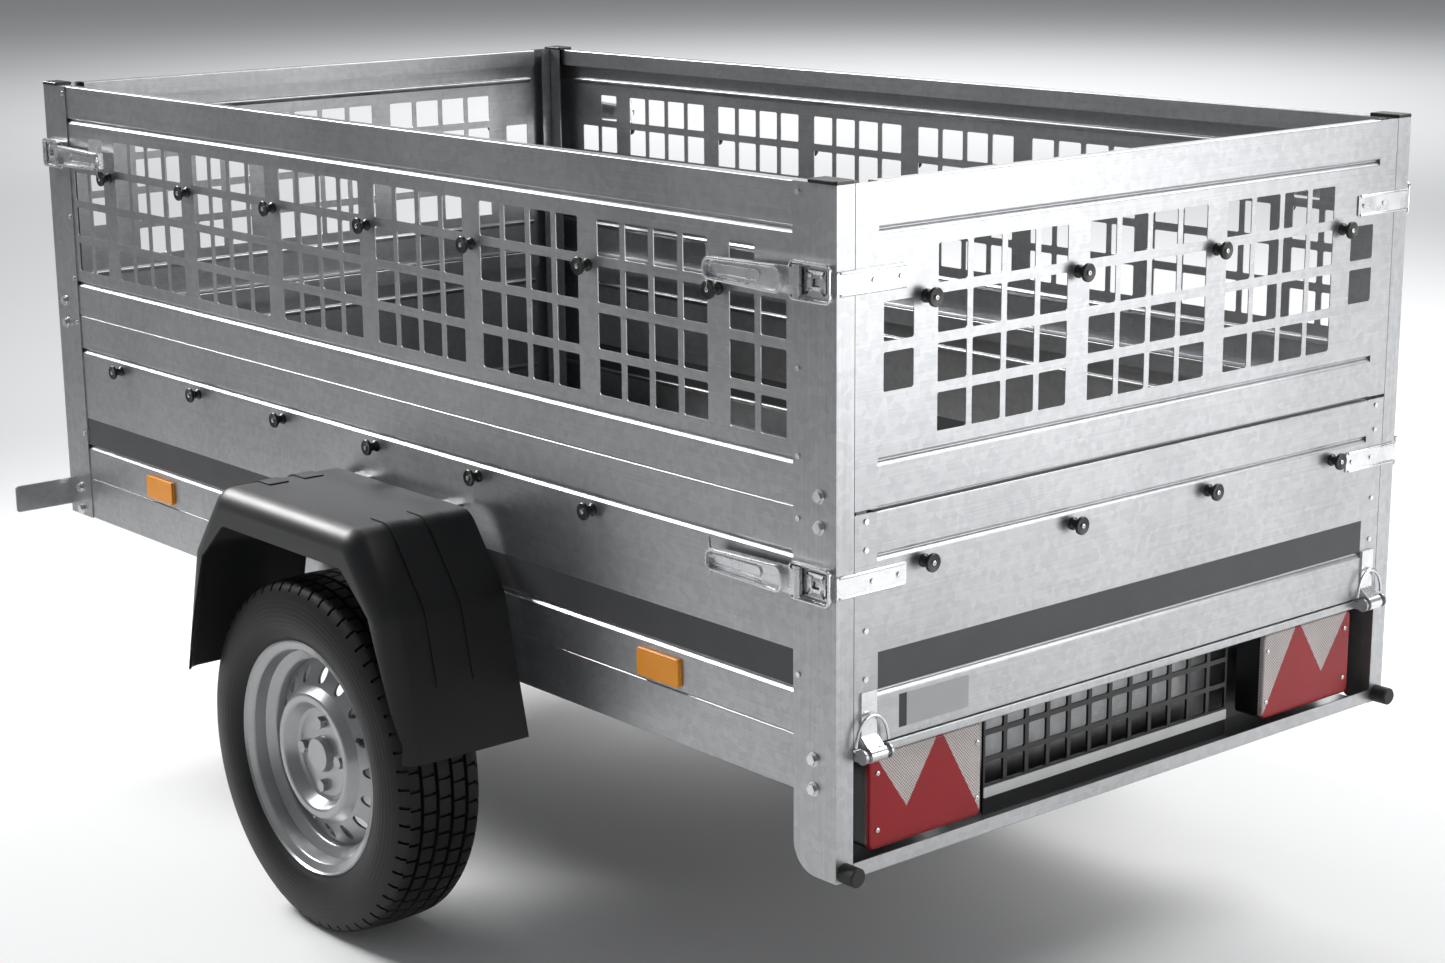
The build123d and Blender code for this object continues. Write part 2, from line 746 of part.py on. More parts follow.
buffer_radius = 13.0
buffer_level = rear_post_bottom + buffer_radius
buffer_edge = 2.0
with BuildPart() as left_buffer:
    with BuildSketch(face_plane((rear, side_face - post_web / 2, buffer_level), (-1, 0, 0))):
        Circle(buffer_radius)
    extrude(amount=buffer_reach)
    chamfer(left_buffer.faces().sort_by(Axis.X)[0].edges(), length=buffer_edge)
with BuildPart() as rear_buffers:
    add(left_buffer.part)
    mirror(left_buffer.part, about=left_right)
save(rear_buffers, "rear_buffers")

# ---- Toggle latches: base on the post, handle, catch strap on the panel --------
latch_upper = 1085.0
latch_lower = 704.0
latch_base_span = (5.0, 75.0)
latch_base_height = 46.0
latch_base_sheet = 3.0
latch_rim = 3.0
latch_rim_height = 4.0
latch_corner = 6.0
latch_pivot_x = rear + 60.0
latch_pivot_y = side_face + 11.0
latch_ear_height = 3.0
latch_barrel = 6.0
latch_pin = 3.0
handle_end = 225.0
handle_sheet = 3.0
handle_flange = 6.5
handle_flange_start = 14.0  # from the pivot, clear of the ears
handle_flange_inset = 0.7
handle_flange_wall = 3.0
handle_root = 34.0
handle_tip = 26.0
handle_face = side_face + 17.0
ear_place = handle_root / 2 + touch_gap + latch_ear_height / 2

with BuildPart() as latch_base:
    base_middle = (latch_base_span[0] + latch_base_span[1]) / 2
    base_length = latch_base_span[1] - latch_base_span[0]
    with BuildSketch(face_plane((rear + base_middle, side_face, 0), (0, 1, 0))):
        RectangleRounded(base_length, latch_base_height, latch_corner)
    extrude(amount=latch_base_sheet)
    with BuildSketch(face_plane((rear + base_middle, side_face + latch_base_sheet, 0), (0, 1, 0))):
        RectangleRounded(base_length, latch_base_height, latch_corner)
        RectangleRounded(
            base_length - 2 * latch_rim,
            latch_base_height - 2 * latch_rim,
            latch_corner - latch_rim / 2,
            mode=Mode.SUBTRACT,
        )
    extrude(amount=latch_rim_height)
    for side in (1, -1):
        with BuildSketch(Plane.XY.offset(side * ear_place)):
            with Locations((latch_pivot_x, latch_pivot_y)):
                Circle(latch_barrel)
            with Locations((latch_pivot_x, (side_face + latch_pivot_y) / 2)):
                Rectangle(2 * latch_barrel, latch_pivot_y - side_face)
        extrude(amount=latch_ear_height / 2, both=True)
    with BuildSketch(Plane.XY):
        with Locations((latch_pivot_x, latch_pivot_y)):
            Circle(latch_pin)
    extrude(amount=ear_place, both=True)

with BuildPart() as latch_handle:
    handle_plane = face_plane((rear, handle_face - handle_sheet, 0), (0, 1, 0))
    root_x = latch_pivot_x - rear
    with BuildSketch(handle_plane):
        with BuildLine():
            Polyline(
                (-root_x, handle_root / 2),
                (-root_x, -handle_root / 2),
                (-handle_end, -handle_tip / 2),
                (-handle_end, handle_tip / 2),
                close=True,
            )
        make_face()
    extrude(amount=handle_sheet)
    with BuildSketch(handle_plane):
        with BuildLine():
            Polyline(
                (-root_x - handle_flange_start, handle_root / 2 - handle_flange_inset),
                (-root_x - handle_flange_start, -handle_root / 2 + handle_flange_inset),
                (-handle_end, -handle_tip / 2),
                (-handle_end, handle_tip / 2),
                close=True,
            )
        make_face()
        with BuildLine():
            Polyline(
                (-root_x - handle_flange_start + 1, handle_root / 2 - handle_flange_wall - 1),
                (-root_x - handle_flange_start + 1, -handle_root / 2 + handle_flange_wall + 1),
                (-handle_end + handle_flange_wall, -handle_tip / 2 + handle_flange_wall),
                (-handle_end + handle_flange_wall, handle_tip / 2 - handle_flange_wall),
                close=True,
            )
        make_face(mode=Mode.SUBTRACT)
    extrude(amount=-handle_flange)
    with BuildSketch(Plane.XY):
        with Locations((latch_pivot_x, latch_pivot_y)):
            Circle(latch_barrel)
            Circle(latch_pin + touch_gap, mode=Mode.SUBTRACT)
    extrude(amount=handle_root / 2, both=True)
    with BuildSketch(Plane.XY):
        with Locations((latch_pivot_x, latch_pivot_y)):
            Circle(latch_pin + touch_gap)
    extrude(amount=handle_root / 2, both=True, mode=Mode.SUBTRACT)


def latch_copies(piece, level):
    """The rear left piece at a level, and its mirrored twins."""
    rear_left = piece.part.moved(Location((0, 0, level)))
    rear_right = rear_left.mirror(left_right)
    front_left = rear_left.mirror(fore_aft)
    front_right = rear_right.mirror(fore_aft)
    return rear_left, rear_right, front_left, front_right


upper_bases = latch_copies(latch_base, latch_upper)
lower_bases = latch_copies(latch_base, latch_lower)[:2]
with BuildPart() as latch_bases:
    for base in upper_bases + lower_bases:
        add(base)
save(latch_bases, "latch_bases")

upper_handles = latch_copies(latch_handle, latch_upper)
lower_handles = latch_copies(latch_handle, latch_lower)[:2]
handle_names = (
    "latch_handle_upper_rear_left",
    "latch_handle_upper_rear_right",
    "latch_handle_upper_front_left",
    "latch_handle_upper_front_right",
    "latch_handle_lower_rear_left",
    "latch_handle_lower_rear_right",
)
for name, handle in zip(handle_names, upper_handles + lower_handles):
    with BuildPart() as handle_piece:
        add(handle)
    save(handle_piece, name)

catch_height = 30.0
catch_sheet = 2.0
catch_corner = 3.0
catch_length = 120.0
catch_outer = side_face + 1.0
catch_inner = catch_outer - catch_length
catch_rivets = (side_face - 106.0, side_face - 60.0)


def end_fittings(level):
    """Catch straps with their rivets, at a level on the rear face, left and right."""
    with BuildPart() as straps:
        for side in (1, -1):
            with BuildSketch(face_plane((rear - touch_gap, 0, level), (-1, 0, 0))):
                with Locations((-side * (catch_inner + catch_outer) / 2, 0)):
                    RectangleRounded(catch_outer - catch_inner, catch_height, catch_corner)
            extrude(amount=catch_sheet)
            with BuildSketch(face_plane((rear - touch_gap - catch_sheet, 0, level), (-1, 0, 0))):
                with Locations(*[(-side * place, 0) for place in catch_rivets]):
                    Circle(rivet_radius)
            extrude(amount=rivet_height)
    return straps


mesh_tailgate_catches = end_fittings(latch_upper)
save(mesh_tailgate_catches, "mesh_tailgate_catches")
with BuildPart() as mesh_front_catches:
    mirror(mesh_tailgate_catches.part, about=fore_aft)
save(mesh_front_catches, "mesh_front_catches")

# Lower tailgate: catches, hinge straps with their knuckles, and rivets on the stiles.
knuckle_radius = 10.0
knuckle_width = 27.0
strap_top = 560.0
strap_sheet = 3.0
stile_rivets = (576.0, 640.0, 745.0, 782.0)
lower_catches = end_fittings(latch_lower)
with BuildPart() as tailgate_fittings:
    add(lower_catches.part)
    for side in (1, -1):
        with BuildSketch(face_plane((rear, 0, 0), (-1, 0, 0))):
            with Locations(*[(-side * (panel_half - stile_width / 2), z) for z in stile_rivets]):
                Circle(rivet_radius)
        extrude(amount=rivet_height)
        with BuildSketch(Plane.XZ.offset(-side * hinge_y)):
            with BuildLine():
                Polyline(
                    (rear, strap_top),
                    (rear, tailgate_bottom + 1),
                    (hinge_x + 4, hinge_z - 2),
                    (hinge_x - knuckle_radius + 2, hinge_z + 4),
                    (rear - strap_sheet, tailgate_bottom + 16),
                    (rear - strap_sheet, strap_top),
                    close=True,
                )
            make_face()
            with Locations((hinge_x, hinge_z)):
                Circle(knuckle_radius)
                Circle(hinge_pin_radius + touch_gap, mode=Mode.SUBTRACT)
        extrude(amount=knuckle_width / 2, both=True)
save(tailgate_fittings, "tailgate_fittings")

# ---- Axle tube with its brackets, and the swing arms --------
bracket_inset = 52.0        # axle bracket middle, from the side face
bracket_y = side_face - bracket_inset
axle_half = side_face - 12.0
axle_wall = 4.0
axle_corner = 6.0
bush_length = 60.0          # block at each tube end that carries the arm's shaft
arm_thickness = 14.0
arm_eye_radius = 32.0
arm_inner = axle_half + running_gap
with BuildPart() as axle_beam:
    with BuildSketch(Plane.XZ):
        with Locations((axle_x, axle_z)):
            RectangleRounded(axle_tube, axle_tube, axle_corner)
            RectangleRounded(
                axle_tube - 2 * axle_wall,
                axle_tube - 2 * axle_wall,
                axle_corner - axle_wall,
                mode=Mode.SUBTRACT,
            )
    extrude(amount=axle_half, both=True)
    for side in (1, -1):
        with BuildSketch(Plane.XZ.offset(-side * axle_half)):
            with Locations((axle_x, axle_z)):
                RectangleRounded(axle_tube - 1, axle_tube - 1, axle_corner)
                Circle(arm_shaft_radius + running_gap, mode=Mode.SUBTRACT)
        extrude(amount=side * bush_length)
        with Locations((axle_x, side * bracket_y, (axle_z + axle_tube / 2 + beam_bottom) / 2)):
            Box(2 * axle_tube, axle_tube, beam_bottom - axle_z - axle_tube / 2)
save(axle_beam, "axle_beam")

hub_inner = side_face + 68.0
shaft_length = 360.0        # arm shaft inside the axle tube
stub_setback = 8.0          # stub end inside the hub face
with BuildPart() as swing_arm_left:
    with BuildSketch(Plane.XZ.offset(-arm_inner)):
        with Locations((axle_x, axle_z), (wheel_x, tyre_radius)):
            Circle(arm_eye_radius)
        make_hull()
    extrude(amount=-arm_thickness)
    with BuildSketch(Plane.XZ.offset(-arm_inner)):
        with Locations((axle_x, axle_z)):
            Circle(arm_shaft_radius)
    extrude(amount=shaft_length)
    with BuildSketch(Plane.XZ.offset(-arm_inner - arm_thickness)):
        with Locations((wheel_x, tyre_radius)):
            Circle(stub_radius)
    extrude(amount=-(hub_face - stub_setback - arm_inner - arm_thickness))
save(swing_arm_left, "swing_arm_left")
with BuildPart() as swing_arm_right:
    mirror(swing_arm_left.part, about=left_right)
save(swing_arm_right, "swing_arm_right")

# ---- Wheels --------
wheel_plane = Plane.YZ.offset(wheel_x)
wheel_axis = Axis((wheel_x, 0, tyre_radius), (0, 1, 0))
rim_sheet = 3.0
rim_outer = wheel_y + rim_lip_to_lip / 2
rim_inner = wheel_y - rim_lip_to_lip / 2
bead_radius = 165.0
well_radius = 148.0
vents = 16
vent_circle = 124.0
vent_size = (13.0, 9.0)
hub_radius = 55.0
cap_radius = 29.0
hub_cap_height = 16.0
hub_cap_taper = 12.0
wheel_bolt_radius = 10.0
wheel_bolt_height = 10.0

with BuildPart() as rim_left:
    with BuildSketch(wheel_plane):
        with BuildLine():
            barrel = [
                (rim_outer, rim_radius),
                (rim_outer - 4, rim_radius - 3),
                (rim_outer - 9, bead_radius + 3),
                (rim_outer - 28, bead_radius - 1),
                (rim_outer - 38, well_radius),
                (rim_inner + 50, well_radius),
                (rim_inner + 36, bead_radius - 1),
                (rim_inner + 9, bead_radius + 3),
                (rim_inner + 4, rim_radius - 3),
                (rim_inner, rim_radius),
            ]
            FilletPolyline(*[(y, tyre_radius + r) for y, r in barrel], radius=2)
            offset(amount=rim_sheet, side=Side.LEFT)
        make_face()
    revolve(axis=wheel_axis)
    with BuildSketch(wheel_plane):
        with BuildLine():
            disc = [
                (wheel_y + 12, well_radius - 1),
                (wheel_y + 14, well_radius - 6),
                (wheel_y + 36, 104),
                (wheel_y + 50, 94),
                (wheel_y + 50, 86),
                (wheel_y + 33, 74),
                (wheel_y + 30, 66),
                (wheel_y + 30, 20),
            ]
            FilletPolyline(*[(y, tyre_radius + r) for y, r in disc], radius=2.5)
            offset(amount=rim_sheet + 1, side=Side.LEFT)
        make_face()
    revolve(axis=wheel_axis)
    with BuildSketch(Plane.XZ.offset(-wheel_y)):
        with Locations((wheel_x, tyre_radius)):
            with PolarLocations(vent_circle, vents):
                Ellipse(*vent_size)
    extrude(amount=-rim_lip_to_lip / 2, mode=Mode.SUBTRACT)
    with BuildSketch(Plane.XZ.offset(-hub_face)):
        with Locations((wheel_x, tyre_radius)):
            Circle(hub_radius)
            Circle(stub_radius + running_gap, mode=Mode.SUBTRACT)
    extrude(amount=hub_face - hub_inner)
    with BuildSketch(Plane.XZ.offset(-hub_face)):
        with Locations((wheel_x, tyre_radius)):
            Circle(cap_radius)
    extrude(amount=-hub_cap_height, taper=hub_cap_taper)
    with BuildSketch(Plane.XZ.offset(-hub_face)):
        with Locations((wheel_x, tyre_radius)):
            with PolarLocations(bolt_circle / 2, 4):
                RegularPolygon(wheel_bolt_radius, 6)
    extrude(amount=-wheel_bolt_height - rim_sheet)
save(rim_left, "rim_left")
with BuildPart() as rim_right:
    mirror(rim_left.part, about=left_right)
save(rim_right, "rim_right")

tread_half = 56.0
tread_groove = 7.0
tread_depth = 7.0
tread_grooves = (-39.0, -13.0, 13.0, 39.0)
sidewall_half = tyre_width / 2
section_height = tyre_radius - rim_radius
crown_drop = 3.0
shoulder_level = tyre_radius - 0.24 * section_height
bulge_level = rim_radius + 0.434 * section_height
bead_rise = rim_radius + 0.105 * section_height
liner_bead = rim_radius + 0.082 * section_height
liner_crown = tyre_radius - 0.26 * section_height
with BuildPart() as tyre_left:
    with BuildSketch(wheel_plane):
        with BuildLine():
            Polyline(
                (wheel_y - tread_half, 2 * tyre_radius - crown_drop),
                (wheel_y - 20, 2 * tyre_radius),
                (wheel_y + 20, 2 * tyre_radius),
                (wheel_y + tread_half, 2 * tyre_radius - crown_drop),
            )
            Spline(
                (wheel_y + tread_half, 2 * tyre_radius - crown_drop),
                (wheel_y + sidewall_half - 6, tyre_radius + shoulder_level),
                (wheel_y + sidewall_half, tyre_radius + bulge_level),
                (wheel_y + sidewall_half - 8, tyre_radius + bead_rise),
                (wheel_y + rim_lip_to_lip / 2 - 2, tyre_radius + rim_radius + 1),
            )
            Polyline(
                (wheel_y + rim_lip_to_lip / 2 - 2, tyre_radius + rim_radius + 1),
                (rim_outer - 9, tyre_radius + bead_radius + 6),
                (rim_outer - 24, tyre_radius + bead_radius + 3),
                (rim_outer - 26, tyre_radius + liner_bead),
                (wheel_y + sidewall_half - 14, tyre_radius + bulge_level),
                (wheel_y + tread_half - 4, tyre_radius + liner_crown),
                (wheel_y - tread_half + 4, tyre_radius + liner_crown),
                (wheel_y - sidewall_half + 14, tyre_radius + bulge_level),
                (rim_inner + 26, tyre_radius + liner_bead),
                (rim_inner + 24, tyre_radius + bead_radius + 3),
                (rim_inner + 9, tyre_radius + bead_radius + 6),
                (wheel_y - rim_lip_to_lip / 2 + 2, tyre_radius + rim_radius + 1),
            )
            Spline(
                (wheel_y - rim_lip_to_lip / 2 + 2, tyre_radius + rim_radius + 1),
                (wheel_y - sidewall_half + 8, tyre_radius + bead_rise),
                (wheel_y - sidewall_half, tyre_radius + bulge_level),
                (wheel_y - sidewall_half + 6, tyre_radius + shoulder_level),
                (wheel_y - tread_half, 2 * tyre_radius - crown_drop),
            )
        make_face()
        with Locations(*[(wheel_y + place, 2 * tyre_radius) for place in tread_grooves]):
            Rectangle(tread_groove, 2 * tread_depth, mode=Mode.SUBTRACT)
    revolve(axis=wheel_axis)
save(tyre_left, "tyre_left")
with BuildPart() as tyre_right:
    mirror(tyre_left.part, about=left_right)
save(tyre_right, "tyre_right")

# ---- Drawbar and coupling --------
coupling_length = 190.0
coupling_overlap = 70.0
ball_x = nose - coupling_bore - coupling_shell
drawbar_front = nose - coupling_length + coupling_overlap
ball_level = drawbar_level - 5.0
drawbar_corner = 6.0
with BuildPart() as drawbar:
    with BuildSketch(Plane.YZ.offset(rear + drawbar_rear + beam_sheet)):
        with Locations((0, drawbar_level)):
            RectangleRounded(drawbar_size - fit_gap, drawbar_size - fit_gap, drawbar_corner)
            RectangleRounded(
                drawbar_size - 2 * drawbar_wall,
                drawbar_size - 2 * drawbar_wall,
                drawbar_corner / 2,
                mode=Mode.SUBTRACT,
            )
    extrude(amount=drawbar_front - rear - drawbar_rear - beam_sheet)
save(drawbar, "drawbar")

shell_half = drawbar_size / 2 + 5
socket_drop = 22.0
lever_back = 55.0           # lever pivot ahead of the coupling's rear end
lever_rise = 9.0            # and above the shell
lever_length = 128.0
lever_half_width = 13.0
lever_boss = 8.0
lever_pin = 4.0
ear_sheet = 6.0
ear_middle = 17.0
ear_round = 11.0
ear_foot = (22.0, 14.0)
handle_pivot = (nose - coupling_length + lever_back, drawbar_level + shell_half + lever_rise)
with BuildPart() as coupling_body:
    with BuildSketch(Plane.YZ.offset(nose - coupling_length)):
        with Locations((0, drawbar_level)):
            RectangleRounded(2 * shell_half, 2 * shell_half, coupling_shell + 1)
    with BuildSketch(Plane.YZ.offset(ball_x)):
        with Locations((0, ball_level + 6)):
            RectangleRounded(2 * coupling_bore, 2 * coupling_bore, 2 * drawbar_corner)
    loft()
    with BuildSketch(Plane.YZ.offset(nose - coupling_length)):
        with Locations((0, drawbar_level)):
            Rectangle(drawbar_size, drawbar_size)
    extrude(amount=coupling_overlap, mode=Mode.SUBTRACT)
    with Locations((ball_x, 0, ball_level)):
        Sphere(coupling_bore + coupling_shell)
    with BuildSketch(Plane.XY.offset(ball_level - socket_drop)):
        with Locations((ball_x, 0)):
            Circle(coupling_bore + coupling_shell)
    extrude(amount=socket_drop)
    with Locations((ball_x, 0, ball_level)):
        Sphere(coupling_bore, mode=Mode.SUBTRACT)
    with BuildSketch(Plane.XY.offset(ball_level - socket_drop)):
        with Locations((ball_x, 0)):
            Circle(coupling_bore)
    extrude(amount=socket_drop, mode=Mode.SUBTRACT)
    below_socket = 2 * (coupling_bore + coupling_shell) + 10
    with Locations((ball_x, 0, ball_level - socket_drop - below_socket / 2)):
        Box(below_socket, below_socket, below_socket, mode=Mode.SUBTRACT)
    for side in (1, -1):
        with BuildSketch(Plane.XZ.offset(-side * ear_middle)):
            with Locations((handle_pivot[0], handle_pivot[1] - 5)):
                Rectangle(*ear_foot)
            with Locations(handle_pivot):
                Circle(ear_round)
        extrude(amount=ear_sheet / 2, both=True)
    with BuildSketch(Plane.XZ):
        with Locations(handle_pivot):
            Circle(lever_pin)
    extrude(amount=ear_middle, both=True)
save(coupling_body, "coupling_body")

with BuildPart() as coupling_handle:
    with BuildSketch(Plane.XZ):
        with BuildLine():
            Polyline(
                (handle_pivot[0] - 8, handle_pivot[1] + 2),
                (handle_pivot[0] + 6, handle_pivot[1] + 8),
                (handle_pivot[0] + lever_length - 3, handle_pivot[1] + 12),
                (handle_pivot[0] + lever_length, handle_pivot[1] + 2),
                (handle_pivot[0] + 6, handle_pivot[1] - 4),
                close=True,
            )
        make_face()
        with Locations(handle_pivot):
            Circle(lever_boss)
            Circle(lever_pin + touch_gap, mode=Mode.SUBTRACT)
    extrude(amount=lever_half_width, both=True)
save(coupling_handle, "coupling_handle")

# ---- Jockey wheel: clamp, leg, castor fork and wheel --------
jockey_x = front + jockey_ahead
jockey_y = -jockey_offset
clamp_wall = 6.0
clamp_half_height = 30.0
castor_top = 2 * jockey_wheel_radius + 40.0
clamp_gap = 0.3
clamp_boss = 14.0
clamp_boss_radius = 7.0
clamp_screw_radius = 6.0
clamp_screw_length = 22.0
clamp_bar_radius = 5.0
clamp_bar_half = 48.0
leg_wall = 3.0
leg_cap = 4.0
with BuildPart() as jockey_clamp:
    with BuildSketch(Plane.XY.offset(drawbar_level - clamp_half_height)):
        with Locations((jockey_x, (jockey_y - drawbar_size / 2) / 2)):
            Rectangle(2 * jockey_tube, -jockey_y - drawbar_size / 2)
        with Locations((jockey_x, jockey_y)):
            Circle(jockey_tube + clamp_gap + clamp_wall)
            Circle(jockey_tube + clamp_gap, mode=Mode.SUBTRACT)
    extrude(amount=2 * clamp_half_height)
    with BuildSketch(Plane.XZ.offset(-jockey_y + jockey_tube + clamp_gap)):
        with Locations((jockey_x, drawbar_level)):
            Circle(clamp_boss_radius)
    extrude(amount=clamp_boss)
    with BuildSketch(Plane.XY.offset(drawbar_level - clamp_half_height)):
        with Locations((jockey_x, jockey_y)):
            Circle(jockey_tube + clamp_gap)
    extrude(amount=2 * clamp_half_height, mode=Mode.SUBTRACT)
save(jockey_clamp, "jockey_clamp")

clamp_handle_y = jockey_y - jockey_tube - clamp_gap - clamp_boss - touch_gap
with BuildPart() as clamp_handle:
    with BuildSketch(Plane.XZ.offset(-clamp_handle_y)):
        with Locations((jockey_x, drawbar_level)):
            Circle(clamp_screw_radius)
    extrude(amount=clamp_screw_length)
    with BuildSketch(Plane.YZ.offset(jockey_x)):
        with Locations((clamp_handle_y - clamp_screw_length, drawbar_level)):
            Circle(clamp_bar_radius)
    extrude(amount=clamp_bar_half, both=True)
save(clamp_handle, "clamp_handle")

with BuildPart() as jockey_leg:
    with BuildSketch(Plane.XY.offset(castor_top)):
        with Locations((jockey_x, jockey_y)):
            Circle(jockey_tube)
    extrude(amount=jockey_top - castor_top)
    with BuildSketch(Plane.XY.offset(castor_top)):
        with Locations((jockey_x, jockey_y)):
            Circle(jockey_tube - leg_wall)
    extrude(amount=jockey_top - castor_top - leg_cap, mode=Mode.SUBTRACT)
save(jockey_leg, "jockey_leg")

castor_trail = 45.0
fork_gap = 1.0
fork_sheet = 4.0
fork_crown = (60.0, 5.0)    # length and thickness of the plate under the leg
fork_axle = 6.0
fork_foot = 14.0
with BuildPart() as castor_fork:
    fork_half = jockey_wheel_width / 2 + fork_gap + fork_sheet
    with BuildSketch(Plane.XY.offset(castor_top - touch_gap)):
        with Locations((jockey_x - 5, jockey_y)):
            RectangleRounded(fork_crown[0], 2 * fork_half, fork_axle)
    extrude(amount=-fork_crown[1])
    for side in (1, -1):
        with BuildSketch(Plane.XZ.offset(-jockey_y - side * (fork_half - fork_sheet / 2))):
            with BuildLine():
                Polyline(
                    (jockey_x - 34, castor_top - 3),
                    (jockey_x + 22, castor_top - 3),
                    (jockey_x - castor_trail + fork_foot, jockey_wheel_radius - 2 * fork_axle),
                    (jockey_x - castor_trail - fork_foot, jockey_wheel_radius - 2 * fork_axle),
                    close=True,
                )
            make_face()
        extrude(amount=fork_sheet / 2, both=True)
    with BuildSketch(Plane.XZ.offset(-jockey_y)):
        with Locations((jockey_x - castor_trail, jockey_wheel_radius)):
            Circle(fork_axle)
    extrude(amount=fork_half, both=True)
save(castor_fork, "castor_fork")

with BuildPart() as jockey_wheel:
    with BuildSketch(Plane.XZ.offset(-jockey_y)):
        with Locations((jockey_x - castor_trail, jockey_wheel_radius)):
            Circle(jockey_wheel_radius)
            Circle(fork_axle + touch_gap, mode=Mode.SUBTRACT)
    extrude(amount=jockey_wheel_width / 2, both=True)
    round_edges = jockey_wheel.faces().filter_by(Axis.Y).edges().filter_by(GeomType.CIRCLE)
    fillet(round_edges.group_by(SortBy.RADIUS)[-1], radius=jockey_edge)
save(jockey_wheel, "jockey_wheel")
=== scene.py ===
# %% [markdown]
# # A small galvanised box trailer
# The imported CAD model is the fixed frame: every sheet, hinge and wheel is already at its real
# size and place. This notebook gives each one its finish, and adds the fine work that is easier
# to shape as a mesh: tyre treads, latch frames, hinge rings and screws.

# %% Load the frame
import math

import bpy
import bmesh
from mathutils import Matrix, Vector


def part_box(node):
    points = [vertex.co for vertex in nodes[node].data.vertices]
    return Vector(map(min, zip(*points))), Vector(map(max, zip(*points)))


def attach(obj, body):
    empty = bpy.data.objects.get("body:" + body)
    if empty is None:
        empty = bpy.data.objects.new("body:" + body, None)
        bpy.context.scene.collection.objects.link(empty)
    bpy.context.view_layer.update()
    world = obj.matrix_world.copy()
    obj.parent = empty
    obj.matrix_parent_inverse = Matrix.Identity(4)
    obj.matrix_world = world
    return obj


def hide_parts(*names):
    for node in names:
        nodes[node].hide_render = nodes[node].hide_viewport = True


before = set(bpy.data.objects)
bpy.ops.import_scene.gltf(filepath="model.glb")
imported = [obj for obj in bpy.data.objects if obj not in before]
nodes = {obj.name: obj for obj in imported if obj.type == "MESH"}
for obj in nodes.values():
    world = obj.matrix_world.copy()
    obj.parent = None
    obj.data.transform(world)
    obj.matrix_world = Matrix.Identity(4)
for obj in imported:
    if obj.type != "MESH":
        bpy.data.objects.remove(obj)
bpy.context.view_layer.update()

# %% [markdown]
# The box of the trailer gives the places that later cells share. They are read from the CAD
# nodes, so a change of size there moves everything that is made here.

# %% Places that the cells share
rear_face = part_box("base_posts_rear")[0].x
front_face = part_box("base_posts_front")[1].x
side_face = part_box("base_posts_rear")[1].y
middle_x = (rear_face + front_face) / 2
print("rear", rear_face, "front", front_face, "side", side_face)

# %% [markdown]
# ## Sockets that can be added up
# Shader maths reads best as ordinary expressions. A wire wraps one socket, and an operator on it
# adds a Math node, so a blend can be written as `clouds * 0.45 + grain * 0.4`. A finish keeps one
# material, its place on the object, and one method that adds any node.


# %% A wire and a finish
class Wire:
    """One output socket of a shader node, with the operators that the finishes use."""

    def __init__(self, finish, socket):
        self.finish = finish
        self.socket = socket

    def math(self, operation, first, second=0.0):
        return self.finish.node("ShaderNodeMath", {"operation": operation}, {0: first, 1: second})

    def __add__(self, other):
        return self.math("ADD", self, other)

    def __radd__(self, other):
        return self.math("ADD", other, self)

    def __sub__(self, other):
        return self.math("SUBTRACT", self, other)

    def __rsub__(self, other):
        return self.math("SUBTRACT", other, self)

    def __mul__(self, other):
        return self.math("MULTIPLY", self, other)

    def __rmul__(self, other):
        return self.math("MULTIPLY", other, self)

    def above(self, edge):
        return self.math("GREATER_THAN", self, edge)

    def below(self, edge):
        return self.math("LESS_THAN", self, edge)

    def size(self):
        return self.math("ABSOLUTE", self)

    def wave(self):
        return self.math("SINE", self)

    def power(self, other):
        return self.math("POWER", self, other)


